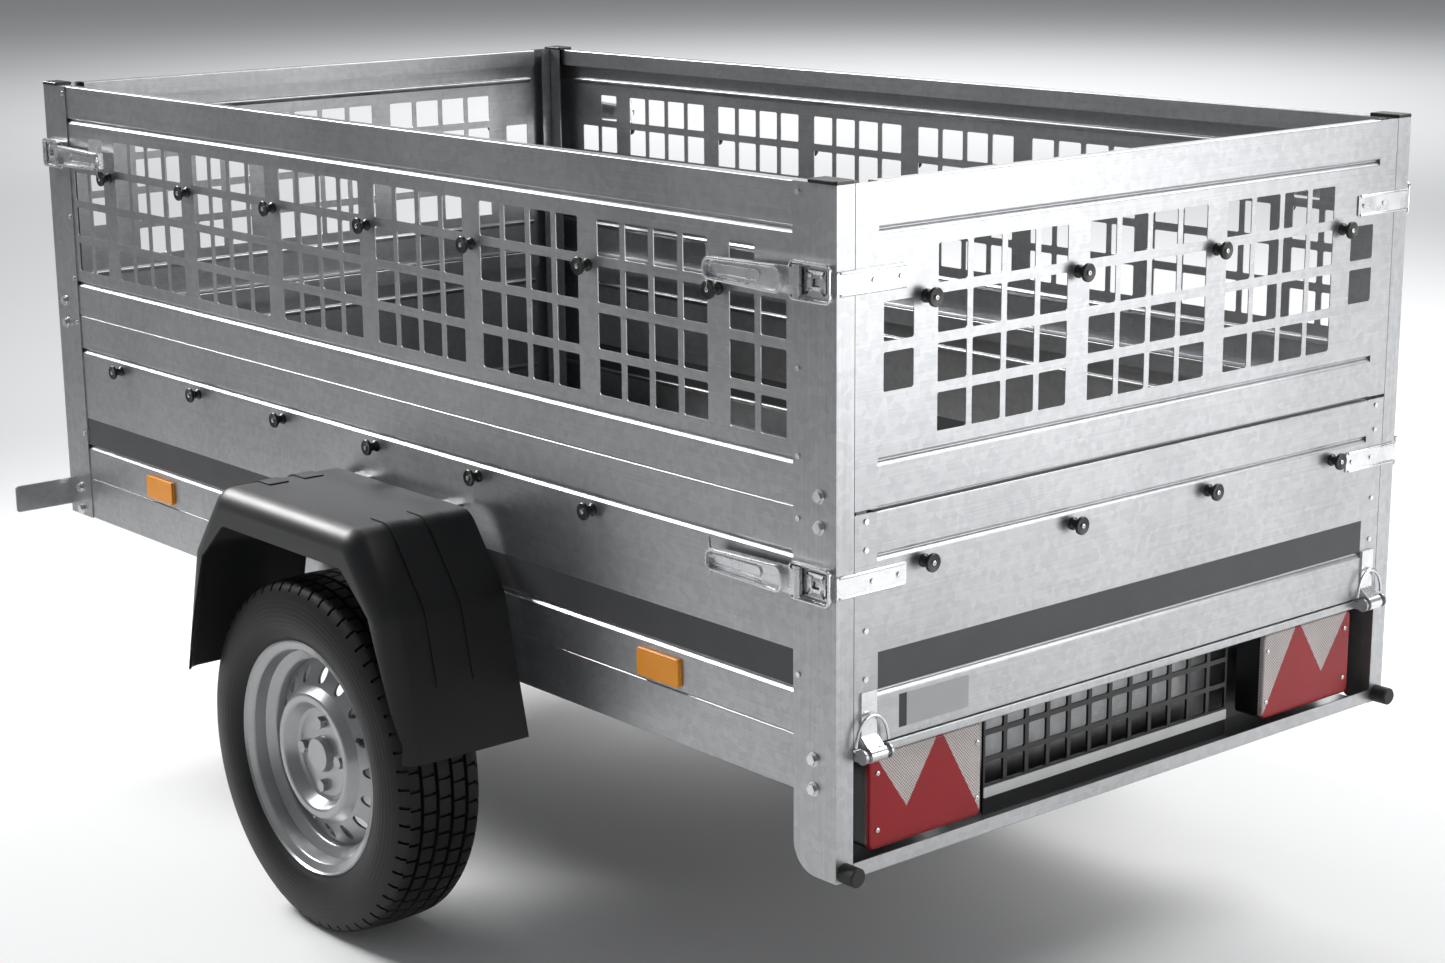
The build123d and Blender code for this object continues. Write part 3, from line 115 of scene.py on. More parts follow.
class Finish:
    """A material with one Principled shader, built node by node."""

    def __init__(self, name, metallic=0.0, **fixed):
        self.material = bpy.data.materials.new(name)
        self.material.use_nodes = True
        self.tree = self.material.node_tree
        self.tree.nodes.clear()
        self.shader = self.tree.nodes.new("ShaderNodeBsdfPrincipled")
        output = self.tree.nodes.new("ShaderNodeOutputMaterial")
        self.tree.links.new(self.shader.outputs[0], output.inputs[0])
        self.shader.inputs["Metallic"].default_value = metallic
        for socket, value in fixed.items():
            self.shader.inputs[socket.replace("_", " ")].default_value = value
        self.place = self.node("ShaderNodeTexCoord", {}, {}, "Object")
        split = self.node("ShaderNodeSeparateXYZ", {}, {0: self.place}, "X")
        self.x = split
        self.y = Wire(self, split.socket.node.outputs["Y"])
        self.z = Wire(self, split.socket.node.outputs["Z"])

    def node(self, kind, settings, inputs, output=0):
        """Add one node: its settings first, then the values or wires of its sockets."""
        made = self.tree.nodes.new(kind)
        for name, value in settings.items():
            setattr(made, name, value)
        for socket, value in inputs.items():
            if isinstance(value, Wire):
                self.tree.links.new(value.socket, made.inputs[socket])
            else:
                made.inputs[socket].default_value = value
        return Wire(self, made.outputs[output])

    def stretched(self, sx, sy, sz):
        """Object place, scaled unevenly, for grain that runs one way."""
        return self.node("ShaderNodeMapping", {}, {"Vector": self.place, "Scale": (sx, sy, sz)})

    def noise(self, scale, detail=3.0, place=None, rough=0.5):
        inputs = {"Vector": place or self.place, "Scale": scale, "Detail": detail, "Roughness": rough}
        return self.node("ShaderNodeTexNoise", {}, inputs, "Fac")

    def cells(self, scale, output="Distance"):
        return self.node("ShaderNodeTexVoronoi", {}, {"Vector": self.place, "Scale": scale}, output)

    def mix(self, factor, first, second):
        """Blend two colours."""
        made = self.tree.nodes.new("ShaderNodeMix")
        made.data_type = "RGBA"
        for socket, value in zip((0, 6, 7), (factor, first, second)):
            if isinstance(value, Wire):
                self.tree.links.new(value.socket, made.inputs[socket])
            elif socket == 0:
                made.inputs[socket].default_value = value
            else:
                made.inputs[socket].default_value = (*value, 1.0)
        return Wire(self, made.outputs[2])

    def set(self, socket, value):
        self.tree.links.new(value.socket, self.shader.inputs[socket])

    def bump(self, height, strength, distance):
        inputs = {"Height": height, "Strength": strength, "Distance": distance}
        self.set("Normal", self.node("ShaderNodeBump", {}, inputs, "Normal"))

    def give(self, *targets):
        """Put this finish alone on each piece."""
        for target in targets:
            target.data.materials.clear()
            target.data.materials.append(self.material)
        print(self.material.name, len(targets))


# %% [markdown]
# ## Galvanised sheet
# Hot-dip sheet is a satin grey with a faint grain along the rolling direction and soft cloudy
# patches where the zinc cooled. Long stretched noise gives the grain, a large noise the clouds,
# and a cell pattern the faint spangle. The side walls roll along x, the ends along y, and the
# posts along z. A dark vinyl stripe and a plain paper label are masks on the same sheet: inside
# them the colour changes and the metal is turned off.


# %% Galvanised sheet, its dark stripe and its label
label_band = 0.014


def galvanised(name, along, stripe=None, label=None):
    finish = Finish(name, metallic=0.92)
    if along == "x":
        grain_place = finish.stretched(4.0, 60.0, 420.0)
    elif along == "y":
        grain_place = finish.stretched(60.0, 4.0, 420.0)
    else:
        grain_place = finish.stretched(240.0, 240.0, 5.0)
    grain = finish.noise(1.0, 4.0, grain_place, 0.6)
    clouds = finish.noise(3.2, 3.0)
    spangle = finish.cells(95.0, "Color")
    fleck = finish.node("ShaderNodeSeparateXYZ", {}, {0: spangle}, "X")
    tone = clouds * 0.45 + grain * 0.4 + fleck * 0.15
    colour = finish.mix(tone, (0.24, 0.245, 0.255), (0.64, 0.65, 0.66))
    roughness = 0.22 + clouds * 0.16 + grain * 0.12
    if stripe:
        bottom, top, start, end = stripe
        across = finish.x if along == "x" else finish.y
        middle = (start + end) / 2
        in_stripe = (across - middle).size().below((end - start) / 2)
        in_stripe = in_stripe * finish.z.above(bottom) * finish.z.below(top)
        vinyl = finish.mix(finish.noise(14.0), (0.040, 0.041, 0.043), (0.062, 0.063, 0.066))
        colour = finish.mix(in_stripe, colour, vinyl)
        roughness = roughness + in_stripe * 0.12
        covered = in_stripe
        if label:
            label_bottom, label_top, label_start, label_end = label
            in_label = across.above(label_start) * across.below(label_end)
            in_label = in_label * finish.z.above(label_bottom) * finish.z.below(label_top)
            band = across.above(label_end - label_band)
            paper = finish.mix(band, (0.40, 0.405, 0.41), (0.02, 0.02, 0.02))
            colour = finish.mix(in_label, colour, paper)
            covered = covered + in_label
        finish.set("Metallic", 0.92 - covered * 0.9)
    finish.set("Base Color", colour)
    finish.set("Roughness", roughness)
    finish.bump(grain * 0.6 + fleck * 0.25, 0.10, 0.0006)
    return finish


stripe_bottom, stripe_top = 0.559, 0.608
side_margin = 0.082
end_margin = 0.041
side_stripe = (stripe_bottom, stripe_top, rear_face + side_margin, front_face - side_margin)
end_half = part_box("tailgate_panel")[1].y - end_margin
end_stripe = (stripe_bottom, stripe_top, -end_half, end_half)
galvanised("galvanised_side_striped", "x", side_stripe).give(
    nodes["base_wall_left"],
    nodes["base_wall_right"],
)
label_patch = (0.499, 0.544, 0.335, 0.462)
galvanised("galvanised_end_striped", "y", end_stripe, label_patch).give(nodes["tailgate_panel"])
side_names = ["mesh_wall_left", "mesh_wall_right", "side_beams", "drawbar"]
galvanised("galvanised_side", "x").give(*[nodes[name] for name in side_names])
end_names = ["mesh_tailgate_panel", "mesh_front_panel", "base_wall_front", "front_beam"]
end_names += ["cross_members", "light_beam", "rear_sill", "marker_arms", "axle_beam"]
galvanised("galvanised_end", "y").give(*[nodes[name] for name in end_names])
post_names = ["base_posts_rear", "base_posts_front", "extension_posts_left", "extension_posts_right"]
post_names += ["mudguard_brackets", "swing_arm_left", "swing_arm_right"]
galvanised("galvanised_post", "z").give(*[nodes[name] for name in post_names])

# %% [markdown]
# ## Bright zinc plating
# Latches, hinges and bolts are electroplated: brighter and smoother than the sheet, with a slight
# blue-white bloom and dull specks where the plating is thin.

# %% Bright zinc plating
plating = Finish("zinc_plating", metallic=0.95)
bloom = plating.noise(38.0, 4.0)
specks = plating.noise(420.0, 2.0)
plating.set("Base Color", plating.mix(bloom, (0.58, 0.59, 0.60), (0.86, 0.87, 0.88)))
plating.set("Roughness", 0.17 + bloom * 0.16 + specks * 0.06)
plating.bump(specks, 0.12, 0.0004)
zinc_names = ["frame_bolts", "latch_bases", "tailgate_fittings", "jockey_clamp", "jockey_leg"]
zinc_names += ["castor_fork", "clamp_handle", "coupling_handle", "coupling_body"]
zinc_names += ["mesh_tailgate_catches", "mesh_front_catches"]
zinc_names += [name for name in nodes if name.startswith("latch_handle")]
plating.give(*[nodes[name] for name in zinc_names])

# %% [markdown]
# ## Black plastic and rubber
# The mudguards are moulded with a fine leather-like grain and a soft sheen. The knobs and caps
# are the same plastic, only smoother. Rubber is duller still.


# %% Black plastics and rubbers
def black(name, low, high, roughness, grain_scale, grain_strength):
    finish = Finish(name)
    patches = finish.noise(9.0, 3.0)
    grain = finish.noise(grain_scale, 2.0)
    pores = finish.cells(grain_scale * 0.8)
    finish.set("Base Color", finish.mix(patches * 0.7 + grain * 0.3, low, high))
    finish.set("Roughness", roughness - 0.06 + patches * 0.12 + grain * 0.05)
    finish.bump(grain * 0.5 + pores * 0.5, grain_strength, 0.0006)
    return finish


guard_tones = ((0.009, 0.009, 0.010), (0.021, 0.021, 0.022))
guard_plastic = black("mudguard_plastic", *guard_tones, 0.42, 900.0, 0.18)
guard_plastic.give(nodes["mudguard_left"], nodes["mudguard_right"])
smooth_tones = ((0.006, 0.006, 0.006), (0.016, 0.016, 0.017))
smooth_plastic = black("smooth_black_plastic", *smooth_tones, 0.30, 700.0, 0.08)
knob_names = ["wall_knobs", "tailgate_knobs", "mesh_tailgate_knobs", "mesh_front_knobs", "post_caps"]
smooth_plastic.give(*[nodes[name] for name in knob_names + ["lamp_housings", "plate_holder"]])
buffer_tones = ((0.010, 0.010, 0.010), (0.022, 0.022, 0.022))
buffer_rubber = black("buffer_rubber", *buffer_tones, 0.6, 500.0, 0.2)
buffer_rubber.give(nodes["rear_buffers"], nodes["jockey_wheel"])

# %% [markdown]
# ## Floor board
# Film-faced plywood is a very dark brown, with a mesh of tiny wires pressed into it for grip. Two
# sine waves crossed make the mesh, and raising them to a power thins its lines.

# %% Floor board
board = Finish("film_faced_plywood")
wire_turns = 1050.0
wire_sharpness = 6.0
mesh_x = (board.x * wire_turns).wave().size()
mesh_y = (board.y * wire_turns).wave().size()
grip = mesh_x.power(wire_sharpness) + mesh_y.power(wire_sharpness)
scuffs = board.noise(6.0, 5.0)
board.set("Base Color", board.mix(scuffs, (0.045, 0.040, 0.036), (0.105, 0.096, 0.088)))
board.set("Roughness", 0.42 + scuffs * 0.2)
board.bump(grip * 0.3 + scuffs * 0.2, 0.25, 0.0008)
board.give(nodes["floor_panel"])

# %% [markdown]
# ## Wheel paint and tyre rubber
# The pressed steel rim is painted silver: a fine metallic flake under a thin clear coat. The tyre
# is a dull black with moulded rings on the sidewall, which depend only on the distance from the
# axle, so its bump is worked out from that radius.

# %% Silver wheel paint
paint = Finish("silver_wheel_paint", metallic=0.75, Coat_Roughness=0.2)
flake = paint.cells(1500.0, "Color")
sparkle = paint.node("ShaderNodeSeparateXYZ", {}, {0: flake}, "X")
haze = paint.noise(12.0, 3.0)
paint.shader.inputs["Coat Weight"].default_value = 0.35
silver = paint.mix(sparkle * 0.4 + haze * 0.6, (0.27, 0.275, 0.28), (0.46, 0.465, 0.47))
paint.set("Base Color", silver)
paint.set("Roughness", 0.26 + haze * 0.12)
paint.bump(haze + sparkle * 0.2, 0.06, 0.0008)
paint.give(nodes["rim_left"], nodes["rim_right"])


# %% Tyre rubber
ring_turns = 900.0
ring_band_radius = 0.222
ring_band_half = 0.024


def tyre_rubber(side):
    low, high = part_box("tyre_" + side)
    axle = (low + high) / 2
    rubber = Finish("tyre_rubber_" + side, Specular_IOR_Level=0.34)
    across = rubber.x - axle.x
    upward = rubber.z - axle.z
    radius = (across * across + upward * upward).power(0.5)
    rings = (radius * ring_turns).wave()
    band = (radius - ring_band_radius).size().below(ring_band_half)
    fine = rubber.noise(650.0, 2.0)
    dust = rubber.noise(16.0, 4.0)
    tones = rubber.mix(dust, (0.0035, 0.0035, 0.0036), (0.011, 0.011, 0.0115))
    rubber.set("Base Color", tones)
    rubber.set("Roughness", 0.44 + dust * 0.16)
    rubber.bump(rings * band * 0.35 + fine * 0.4, 0.35, 0.0008)
    return rubber


rubbers = {side: tyre_rubber(side) for side in ("left", "right")}
print("rubbers", list(rubbers))

# %% [markdown]
# ## Lamp lenses
# A lens is clear plastic over a ribbed reflector. Two crossed sine waves make its grid of tiny
# prisms, and a soft noise paints the uneven glow of the reflector behind it into the lens colour:
# a painted reflection. The same noise also varies the roughness.


# %% Red, clear and amber lenses
def lens(name, low, high, rib, coat=0.3, depth=0.5):
    finish = Finish(name, Coat_Weight=coat, Coat_Roughness=0.05, Specular_IOR_Level=0.3)
    across = ((finish.y + finish.x) * rib).wave()
    upward = (finish.z * rib).wave()
    prisms = across * upward
    # painted reflection: a soft noise paints the reflector's uneven glow into the lens colour
    painted_reflector_glow = finish.noise(18.0, 2.0)
    finish.set("Base Color", finish.mix(prisms * 0.45 + painted_reflector_glow * 0.3 + 0.3, low, high))
    finish.set("Roughness", 0.16 + painted_reflector_glow * 0.12)
    finish.bump(prisms, depth, 0.0008)
    return finish


red = lens("red_lens", (0.22, 0.0, 0.003), (0.42, 0.0, 0.006), 1500.0, coat=0.1, depth=0.12)
red.give(nodes["lamp_red_lenses"])
clear = lens("clear_lens", (0.20, 0.15, 0.14), (0.84, 0.78, 0.76), 1350.0)
clear.give(nodes["lamp_clear_lenses"])
amber = lens("amber_lens", (0.78, 0.22, 0.004), (0.98, 0.42, 0.01), 1400.0, depth=0.25)
amber.give(nodes["side_reflectors"])
strip = Finish("white_strip")
strip_tone = strip.noise(30.0)
strip.set("Base Color", strip.mix(strip_tone, (0.70, 0.70, 0.70), (0.84, 0.84, 0.84)))
strip.set("Roughness", 0.3 + strip_tone * 0.1)
strip.give(nodes["plate_strip"])


# %% [markdown]
# ## Helpers for new pieces
# A primitive is added, cut in edit mode, and finished. These helpers deselect everything first,
# because the CAD nodes stay selected after loading, and put the finished piece's place in its mesh.


# %% Helpers for new pieces
def clear_selection():
    if bpy.context.object and bpy.context.object.mode != "OBJECT":
        bpy.ops.object.mode_set(mode="OBJECT")
    bpy.ops.object.select_all(action="DESELECT")


def settle(piece, name, body, finish, angle=35):
    """Bake the piece's place into its mesh, smooth it, and let it ride on a body."""
    clear_selection()
    piece.select_set(True)
    bpy.context.view_layer.objects.active = piece
    bpy.ops.object.transform_apply(location=True, rotation=True, scale=True)
    bpy.ops.object.shade_smooth_by_angle(angle=math.radians(angle))
    piece.name = name
    piece.data.name = name
    finish.give(piece)
    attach(piece, body)
    return piece


def apply_all(piece):
    clear_selection()
    piece.select_set(True)
    bpy.context.view_layer.objects.active = piece
    for modifier in list(piece.modifiers):
        bpy.ops.object.modifier_apply(modifier=modifier.name)


def faces_where(piece, test):
    """Select the faces whose middle and normal pass a test, in edit mode."""
    bpy.ops.mesh.select_all(action="DESELECT")
    mesh = bmesh.from_edit_mesh(piece.data)
    for face in mesh.faces:
        face.select = test(face.calc_center_median(), face.normal)
    bmesh.update_edit_mesh(piece.data)


# %% [markdown]
# ## Tyres
# The real tread has four grooves round the tyre and short slanted cuts in every rib. They could
# be cut with booleans, but those leave poor faces on a curved shell. Here the outline is one chain
# of points, spun round the axle in fine steps, and every sixth face of a rib is pushed in to make
# the cuts. Each rib starts its cuts a little later, which slants the pattern.

# %% Tyre outline
tyre_low, tyre_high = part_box("tyre_left")
tyre_radius = (tyre_high.z - tyre_low.z) / 2
tyre_half = (tyre_high.y - tyre_low.y) / 2
groove_depth = 0.007
groove_top_half = 0.0033
groove_floor_half = 0.0028
groove_clear = 0.0034
rib_pitch = 0.013
groove_middles = (rib_pitch, 0.039)
rim_seat = 0.183


def half_outline():
    """Offsets from the middle plane and radii, from the middle of the tread to the bead."""
    crown = tyre_radius
    points = [(0.0, crown), (0.0095, crown)]
    for middle in groove_middles:
        lift = crown - 0.0005 * (middle / rib_pitch)
        bottom = lift - groove_depth
        points += [(middle - groove_top_half, lift), (middle - groove_floor_half, bottom)]
        points += [(middle + groove_floor_half, bottom), (middle + groove_top_half, lift)]
    points += [(0.050, crown - 0.0022), (0.058, crown - 0.0035), (0.0645, crown - 0.008)]
    points += [(0.0695, crown - 0.016), (0.0735, crown - 0.028), (tyre_half, crown - 0.050)]
    points += [(tyre_half - 0.0008, crown - 0.064), (tyre_half - 0.0045, crown - 0.078)]
    points += [(tyre_half - 0.0095, rim_seat + 0.004), (tyre_half - 0.013, rim_seat)]
    points += [(tyre_half - 0.020, rim_seat - 0.012), (tyre_half - 0.030, rim_seat - 0.014)]
    return points


outline = half_outline()
print("outline points", len(outline))


# %% Spin the outline and cut the tread
spin_steps = 360
cut_every = 6
cut_depth = 0.0045
tread_reach = 0.0125
liner = ((0.055, 0.262), (0.072, 0.225), (0.050, 0.178))


def make_tyre(side):
    low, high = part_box("tyre_" + side)
    axle = (low + high) / 2
    ring = [(-y, r) for y, r in outline[:0:-1]] + outline
    inner = [(y * 0.9, r - 0.012) for y, r in liner]
    ring += [(y, r) for y, r in reversed(inner)] + [(-y, r) for y, r in inner]
    clear_selection()
    bpy.ops.mesh.primitive_circle_add(vertices=len(ring), radius=0.1, location=(0, 0, 0))
    tyre = bpy.context.object
    for vertex, (across, radius) in zip(tyre.data.vertices, ring):
        vertex.co = (axle.x, axle.y + across, axle.z + radius)
    bpy.ops.object.mode_set(mode="EDIT")
    bpy.ops.mesh.select_all(action="SELECT")
    bpy.ops.mesh.spin(steps=spin_steps, angle=2 * math.pi, center=axle, axis=(0, 1, 0))
    bpy.ops.mesh.select_all(action="SELECT")
    bpy.ops.mesh.remove_doubles(threshold=0.00001)
    bpy.ops.mesh.normals_make_consistent(inside=False)

    def sipe(centre, normal):
        across = centre.y - axle.y
        upward, forward = centre.z - axle.z, centre.x - axle.x
        radius = math.hypot(upward, forward)
        if radius < tyre_radius - tread_reach or radius > tyre_radius + 0.001:
            return False
        if normal.y ** 2 > 0.72:
            return False
        if min(abs(abs(across) - middle) for middle in groove_middles) < groove_clear:
            return False
        rib = round(abs(across) / rib_pitch)
        turn = math.degrees(math.atan2(upward, forward))
        step = int(round(turn - 0.5)) + (rib if across > 0 else -rib)
        return step % cut_every == 0

    faces_where(tyre, sipe)
    bpy.ops.mesh.extrude_region_shrink_fatten(TRANSFORM_OT_shrink_fatten={"value": -cut_depth})
    bpy.ops.object.mode_set(mode="OBJECT")
    settle(tyre, "tyre_tread_" + side, "wheel_" + side, rubbers[side], 30)
    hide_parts("tyre_" + side)
    print(side, "tyre faces", len(tyre.data.polygons))


for side in ("left", "right"):
    make_tyre(side)

# %% [markdown]
# ## Frames of the latches
# Each latch is pressed from sheet with a raised bead round its edge. A bead is a flat plate whose
# corners are bevelled, whose middle is inset and taken out, and whose rim is then given a depth
# and a softened edge. One helper makes the handle's long rim, the oval pressed inside it, the claw
# on the base and the pad under the claw.


# %% A rounded ring plate on a side wall
def ring_plate(name, length, height, corner, width, depth, place, taper=1.0):
    """Ring that faces along y: place is its middle, taper narrows its front end."""
    clear_selection()
    bpy.ops.mesh.primitive_plane_add(size=1, location=(0, 0, 0), rotation=(0, 0, 0))
    ring = bpy.context.object
    ring.name = name
    for vertex in ring.data.vertices:
        side = 1.0 if vertex.co.x < 0 else taper
        vertex.co = (vertex.co.x * length, 0.0, vertex.co.y * height * side)
    bpy.ops.object.mode_set(mode="EDIT")
    bpy.ops.mesh.select_all(action="SELECT")
    bpy.ops.mesh.bevel(offset=corner, segments=6, affect="VERTICES")
    bpy.ops.mesh.select_all(action="SELECT")
    bpy.ops.mesh.inset(thickness=width)
    bpy.ops.mesh.delete(type="ONLY_FACE")
    bpy.ops.mesh.select_all(action="SELECT")
    bpy.ops.mesh.normals_make_consistent(inside=False)
    bpy.ops.object.mode_set(mode="OBJECT")
    thicken = ring.modifiers.new("depth", "SOLIDIFY")
    thicken.thickness = depth
    thicken.offset = 0.0
    soften = ring.modifiers.new("edge", "BEVEL")
    soften.width = min(width, depth) * 0.3
    soften.segments = 2
    soften.limit_method = "ANGLE"
    apply_all(ring)
    ring.location = place
    return ring


# %% Dress the six latches
eye_length = 0.022
oval_offset = 0.020
latch_names = [name for name in nodes if name.startswith("latch_handle")]
for name in latch_names:
    low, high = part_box(name)
    left = low.y > 0
    outer = high.y if left else low.y
    out = 1 if left else -1
    rear_end = (low.x + high.x) / 2 < middle_x
    toward = 1 if rear_end else -1
    pivot = low.x if rear_end else high.x
    level = (low.z + high.z) / 2
    body = name.replace("latch_handle", "latch")
    grip_length = high.x - low.x - eye_length
    grip_middle = eye_length + grip_length / 2
    long_rim = ring_plate("rim", grip_length, 0.036, 0.012, 0.0038, 0.010, (0, 0, 0), 0.80)
    oval = ring_plate("oval", 0.100, 0.016, 0.0075, 0.0018, 0.003, (0, 0, 0), 0.9)
    frames = ((long_rim, grip_middle, 0.003), (oval, grip_middle + oval_offset, 0.0008))
    for piece, along, lift in frames:
        piece.scale = (toward, 1, 1)
        piece.location = (pivot + toward * along, outer + out * lift, level)
    clear_selection()
    long_rim.select_set(True)
    oval.select_set(True)
    bpy.context.view_layer.objects.active = long_rim
    bpy.ops.object.transform_apply(location=True, rotation=True, scale=True)
    bpy.ops.object.join()
    bpy.ops.object.mode_set(mode="EDIT")
    bpy.ops.mesh.select_all(action="SELECT")
    bpy.ops.mesh.normals_make_consistent(inside=False)
    bpy.ops.object.mode_set(mode="OBJECT")
    settle(long_rim, name + "_bead", body, plating)
    base_end = rear_face if rear_end else front_face
    claw_place = (base_end + toward * 0.039, out * (side_face + 0.0092), level)
    claw = ring_plate("claw", 0.074, 0.050, 0.008, 0.0035, 0.004, claw_place)
    settle(claw, name + "_claw", "chassis", plating)
    pad_place = (base_end + toward * 0.030, out * (side_face + 0.006), level)
    pad = ring_plate("pad", 0.034, 0.030, 0.003, 0.010, 0.003, pad_place)
    settle(pad, name + "_claw_pad", "chassis", plating)

# %% [markdown]
# ## Rails of the catch straps
# Each catch strap is pressed with a raised rail along both edges. A rail is a thin cylinder laid
# along the strap, with its ends rounded by a bevel.

# %% Rails of the catch straps
rail_radius = 0.0022
rail_sunk = 0.0018
catch_half = 0.0135
catch_length = 0.112
catch_end = 0.004
for node, body in (
    ("mesh_tailgate_catches", "mesh_tailgate"),
    ("mesh_front_catches", "mesh_front"),
    ("tailgate_fittings", "lower_tailgate"),
):
    low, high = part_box(node)
    face_x = high.x - rail_sunk if low.x > 0 else low.x + rail_sunk
    level = (low.z + high.z) / 2
    if node == "tailgate_fittings":
        face_x = rear_face - 0.0023
        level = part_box("latch_handle_lower_rear_left")[0].z + 0.017
    rails = []
    for out in (1, -1):
        for step in (1, -1):
            clear_selection()
            bpy.ops.mesh.primitive_cylinder_add(vertices=14, radius=rail_radius, depth=catch_length)
            rail = bpy.context.object
            bpy.ops.object.mode_set(mode="EDIT")
            faces_where(rail, lambda centre, normal: abs(normal.z) > 0.9)
            bpy.ops.mesh.bevel(offset=rail_radius * 0.5, segments=3, affect="EDGES")
            bpy.ops.object.mode_set(mode="OBJECT")
            rail.rotation_euler = (math.pi / 2, 0, 0)
            across = out * (high.y - catch_length / 2 - catch_end)
            rail.location = (face_x, across, level + step * catch_half)
            rails.append(rail)
    clear_selection()
    for rail in rails:
        rail.select_set(True)
    bpy.context.view_layer.objects.active = rails[0]
    bpy.ops.object.transform_apply(location=True, rotation=True, scale=True)
    bpy.ops.object.join()
    settle(rails[0], node + "_rails", body, plating)

# %% [markdown]
# ## Hinge rings
# A spring wire bows over each tailgate hinge pin and keeps it in place. It is half a torus: a
# torus is cut by a plane through its middle, its cut ends are filled, and the half is stretched
# upwards. A curve with a round bevel would do as well, but it would have to be made a mesh.

# %% Hinge rings
ring_wire = 0.0021
ring_bow = 0.028
ring_stretch = 1.35
ring_across = 0.517
sill_low, sill_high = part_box("rear_sill")
hinge_level = (sill_low.z + sill_high.z) / 2
for side, out in (("left", 1), ("right", -1)):
    clear_selection()
    bpy.ops.mesh.primitive_torus_add(
        major_radius=ring_bow,
        minor_radius=ring_wire,
        major_segments=48,
        minor_segments=10,
        rotation=(0, math.pi / 2, 0),
    )
    bow = bpy.context.object
    bpy.ops.object.transform_apply(location=False, rotation=True, scale=False)
    bpy.ops.object.mode_set(mode="EDIT")
    bpy.ops.mesh.select_all(action="SELECT")
    bpy.ops.mesh.bisect(plane_co=(0, 0, 0), plane_no=(0, 0, 1), use_fill=True, clear_inner=True)
    bpy.ops.object.mode_set(mode="OBJECT")
    bow.scale = (1, 1, ring_stretch)
    bow.location = (rear_face - 0.0085, out * ring_across, hinge_level + 0.012)
    settle(bow, "hinge_ring_" + side, "lower_tailgate", plating)

# %% [markdown]
# ## Screws
# Each black knob is held by a zinc screw with a six-sided socket, and each lamp lens by four
# pan-head screws. One screw is modelled: a short cylinder with a bevelled rim and its socket
# pushed in. Copies are joined into one piece for each body.


# %% One screw and its copies
def screw(radius, point, outward):
    clear_selection()
    bpy.ops.mesh.primitive_cylinder_add(vertices=18, radius=radius, depth=radius * 0.7)
    head = bpy.context.object
    bpy.ops.object.mode_set(mode="EDIT")
    faces_where(head, lambda centre, normal: normal.z > 0.9)
    bpy.ops.mesh.inset(thickness=radius * 0.22)
    bpy.ops.transform.translate(value=(0, 0, radius * 0.12))
    bpy.ops.mesh.inset(thickness=radius * 0.34)
    bpy.ops.mesh.inset(thickness=radius * 0.02)
    bpy.ops.transform.translate(value=(0, 0, -radius * 0.4))
    bpy.ops.object.mode_set(mode="OBJECT")
    head.rotation_euler = Vector(outward).to_track_quat("Z", "Y").to_euler()
    head.location = point
    return head


def screws(name, radius, places, body):
    heads = [screw(radius, point, outward) for point, outward in places]
    clear_selection()
    for head in heads:
        head.select_set(True)
    bpy.context.view_layer.objects.active = heads[0]
    bpy.ops.object.transform_apply(location=True, rotation=True, scale=True)
    bpy.ops.object.join()
    settle(heads[0], name, body, plating, 30)
    print(name, len(places))


knob_radius = 0.0125
knob_screw = 0.0034
head_sunk = 0.0006
wall_knob_low, wall_knob_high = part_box("wall_knobs")
wall_tip = wall_knob_high.y - head_sunk
upper_level = wall_knob_high.z - knob_radius
lower_level = wall_knob_low.z + knob_radius
knob_pitch = 0.272
wall_places = []
for out in (1, -1):
    for step in range(-3, 4):
        x = middle_x + step * knob_pitch
        wall_places.append(((x, out * wall_tip, upper_level), (0, out, 0)))
        if step > -3:
            wall_places.append(((x, out * wall_tip, lower_level), (0, out, 0)))
screws("wall_knob_screws", knob_screw, wall_places, "chassis")
end_pitch = 0.280
end_columns = [(step - 1.5) * end_pitch for step in range(4)]
for name, body, level in (
    ("tailgate_knobs", "lower_tailgate", lower_level),
    ("mesh_tailgate_knobs", "mesh_tailgate", upper_level),
    ("mesh_front_knobs", "mesh_front", upper_level),
):
    low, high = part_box(name)
    front_side = low.x > 0
    tip = high.x - head_sunk if front_side else low.x + head_sunk
    facing = (1 if front_side else -1, 0, 0)
    screws(name + "_screws", knob_screw, [((tip, y, level), facing) for y in end_columns], body)

# %% Screws of the lamp lenses
lens_low, lens_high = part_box("lamp_red_lenses")
lens_screw = 0.0032
lamp_width = 0.205
lens_places = []
for out in (1, -1):
    for across in (0.014, lamp_width - 0.008):
        for height in (0.026, 0.104):
            y = out * (lens_high.y - across)
            point = (lens_low.x - head_sunk, y, lens_low.z + height)
            lens_places.append((point, (-1, 0, 0)))
screws("lens_screws", lens_screw, lens_places, "chassis")
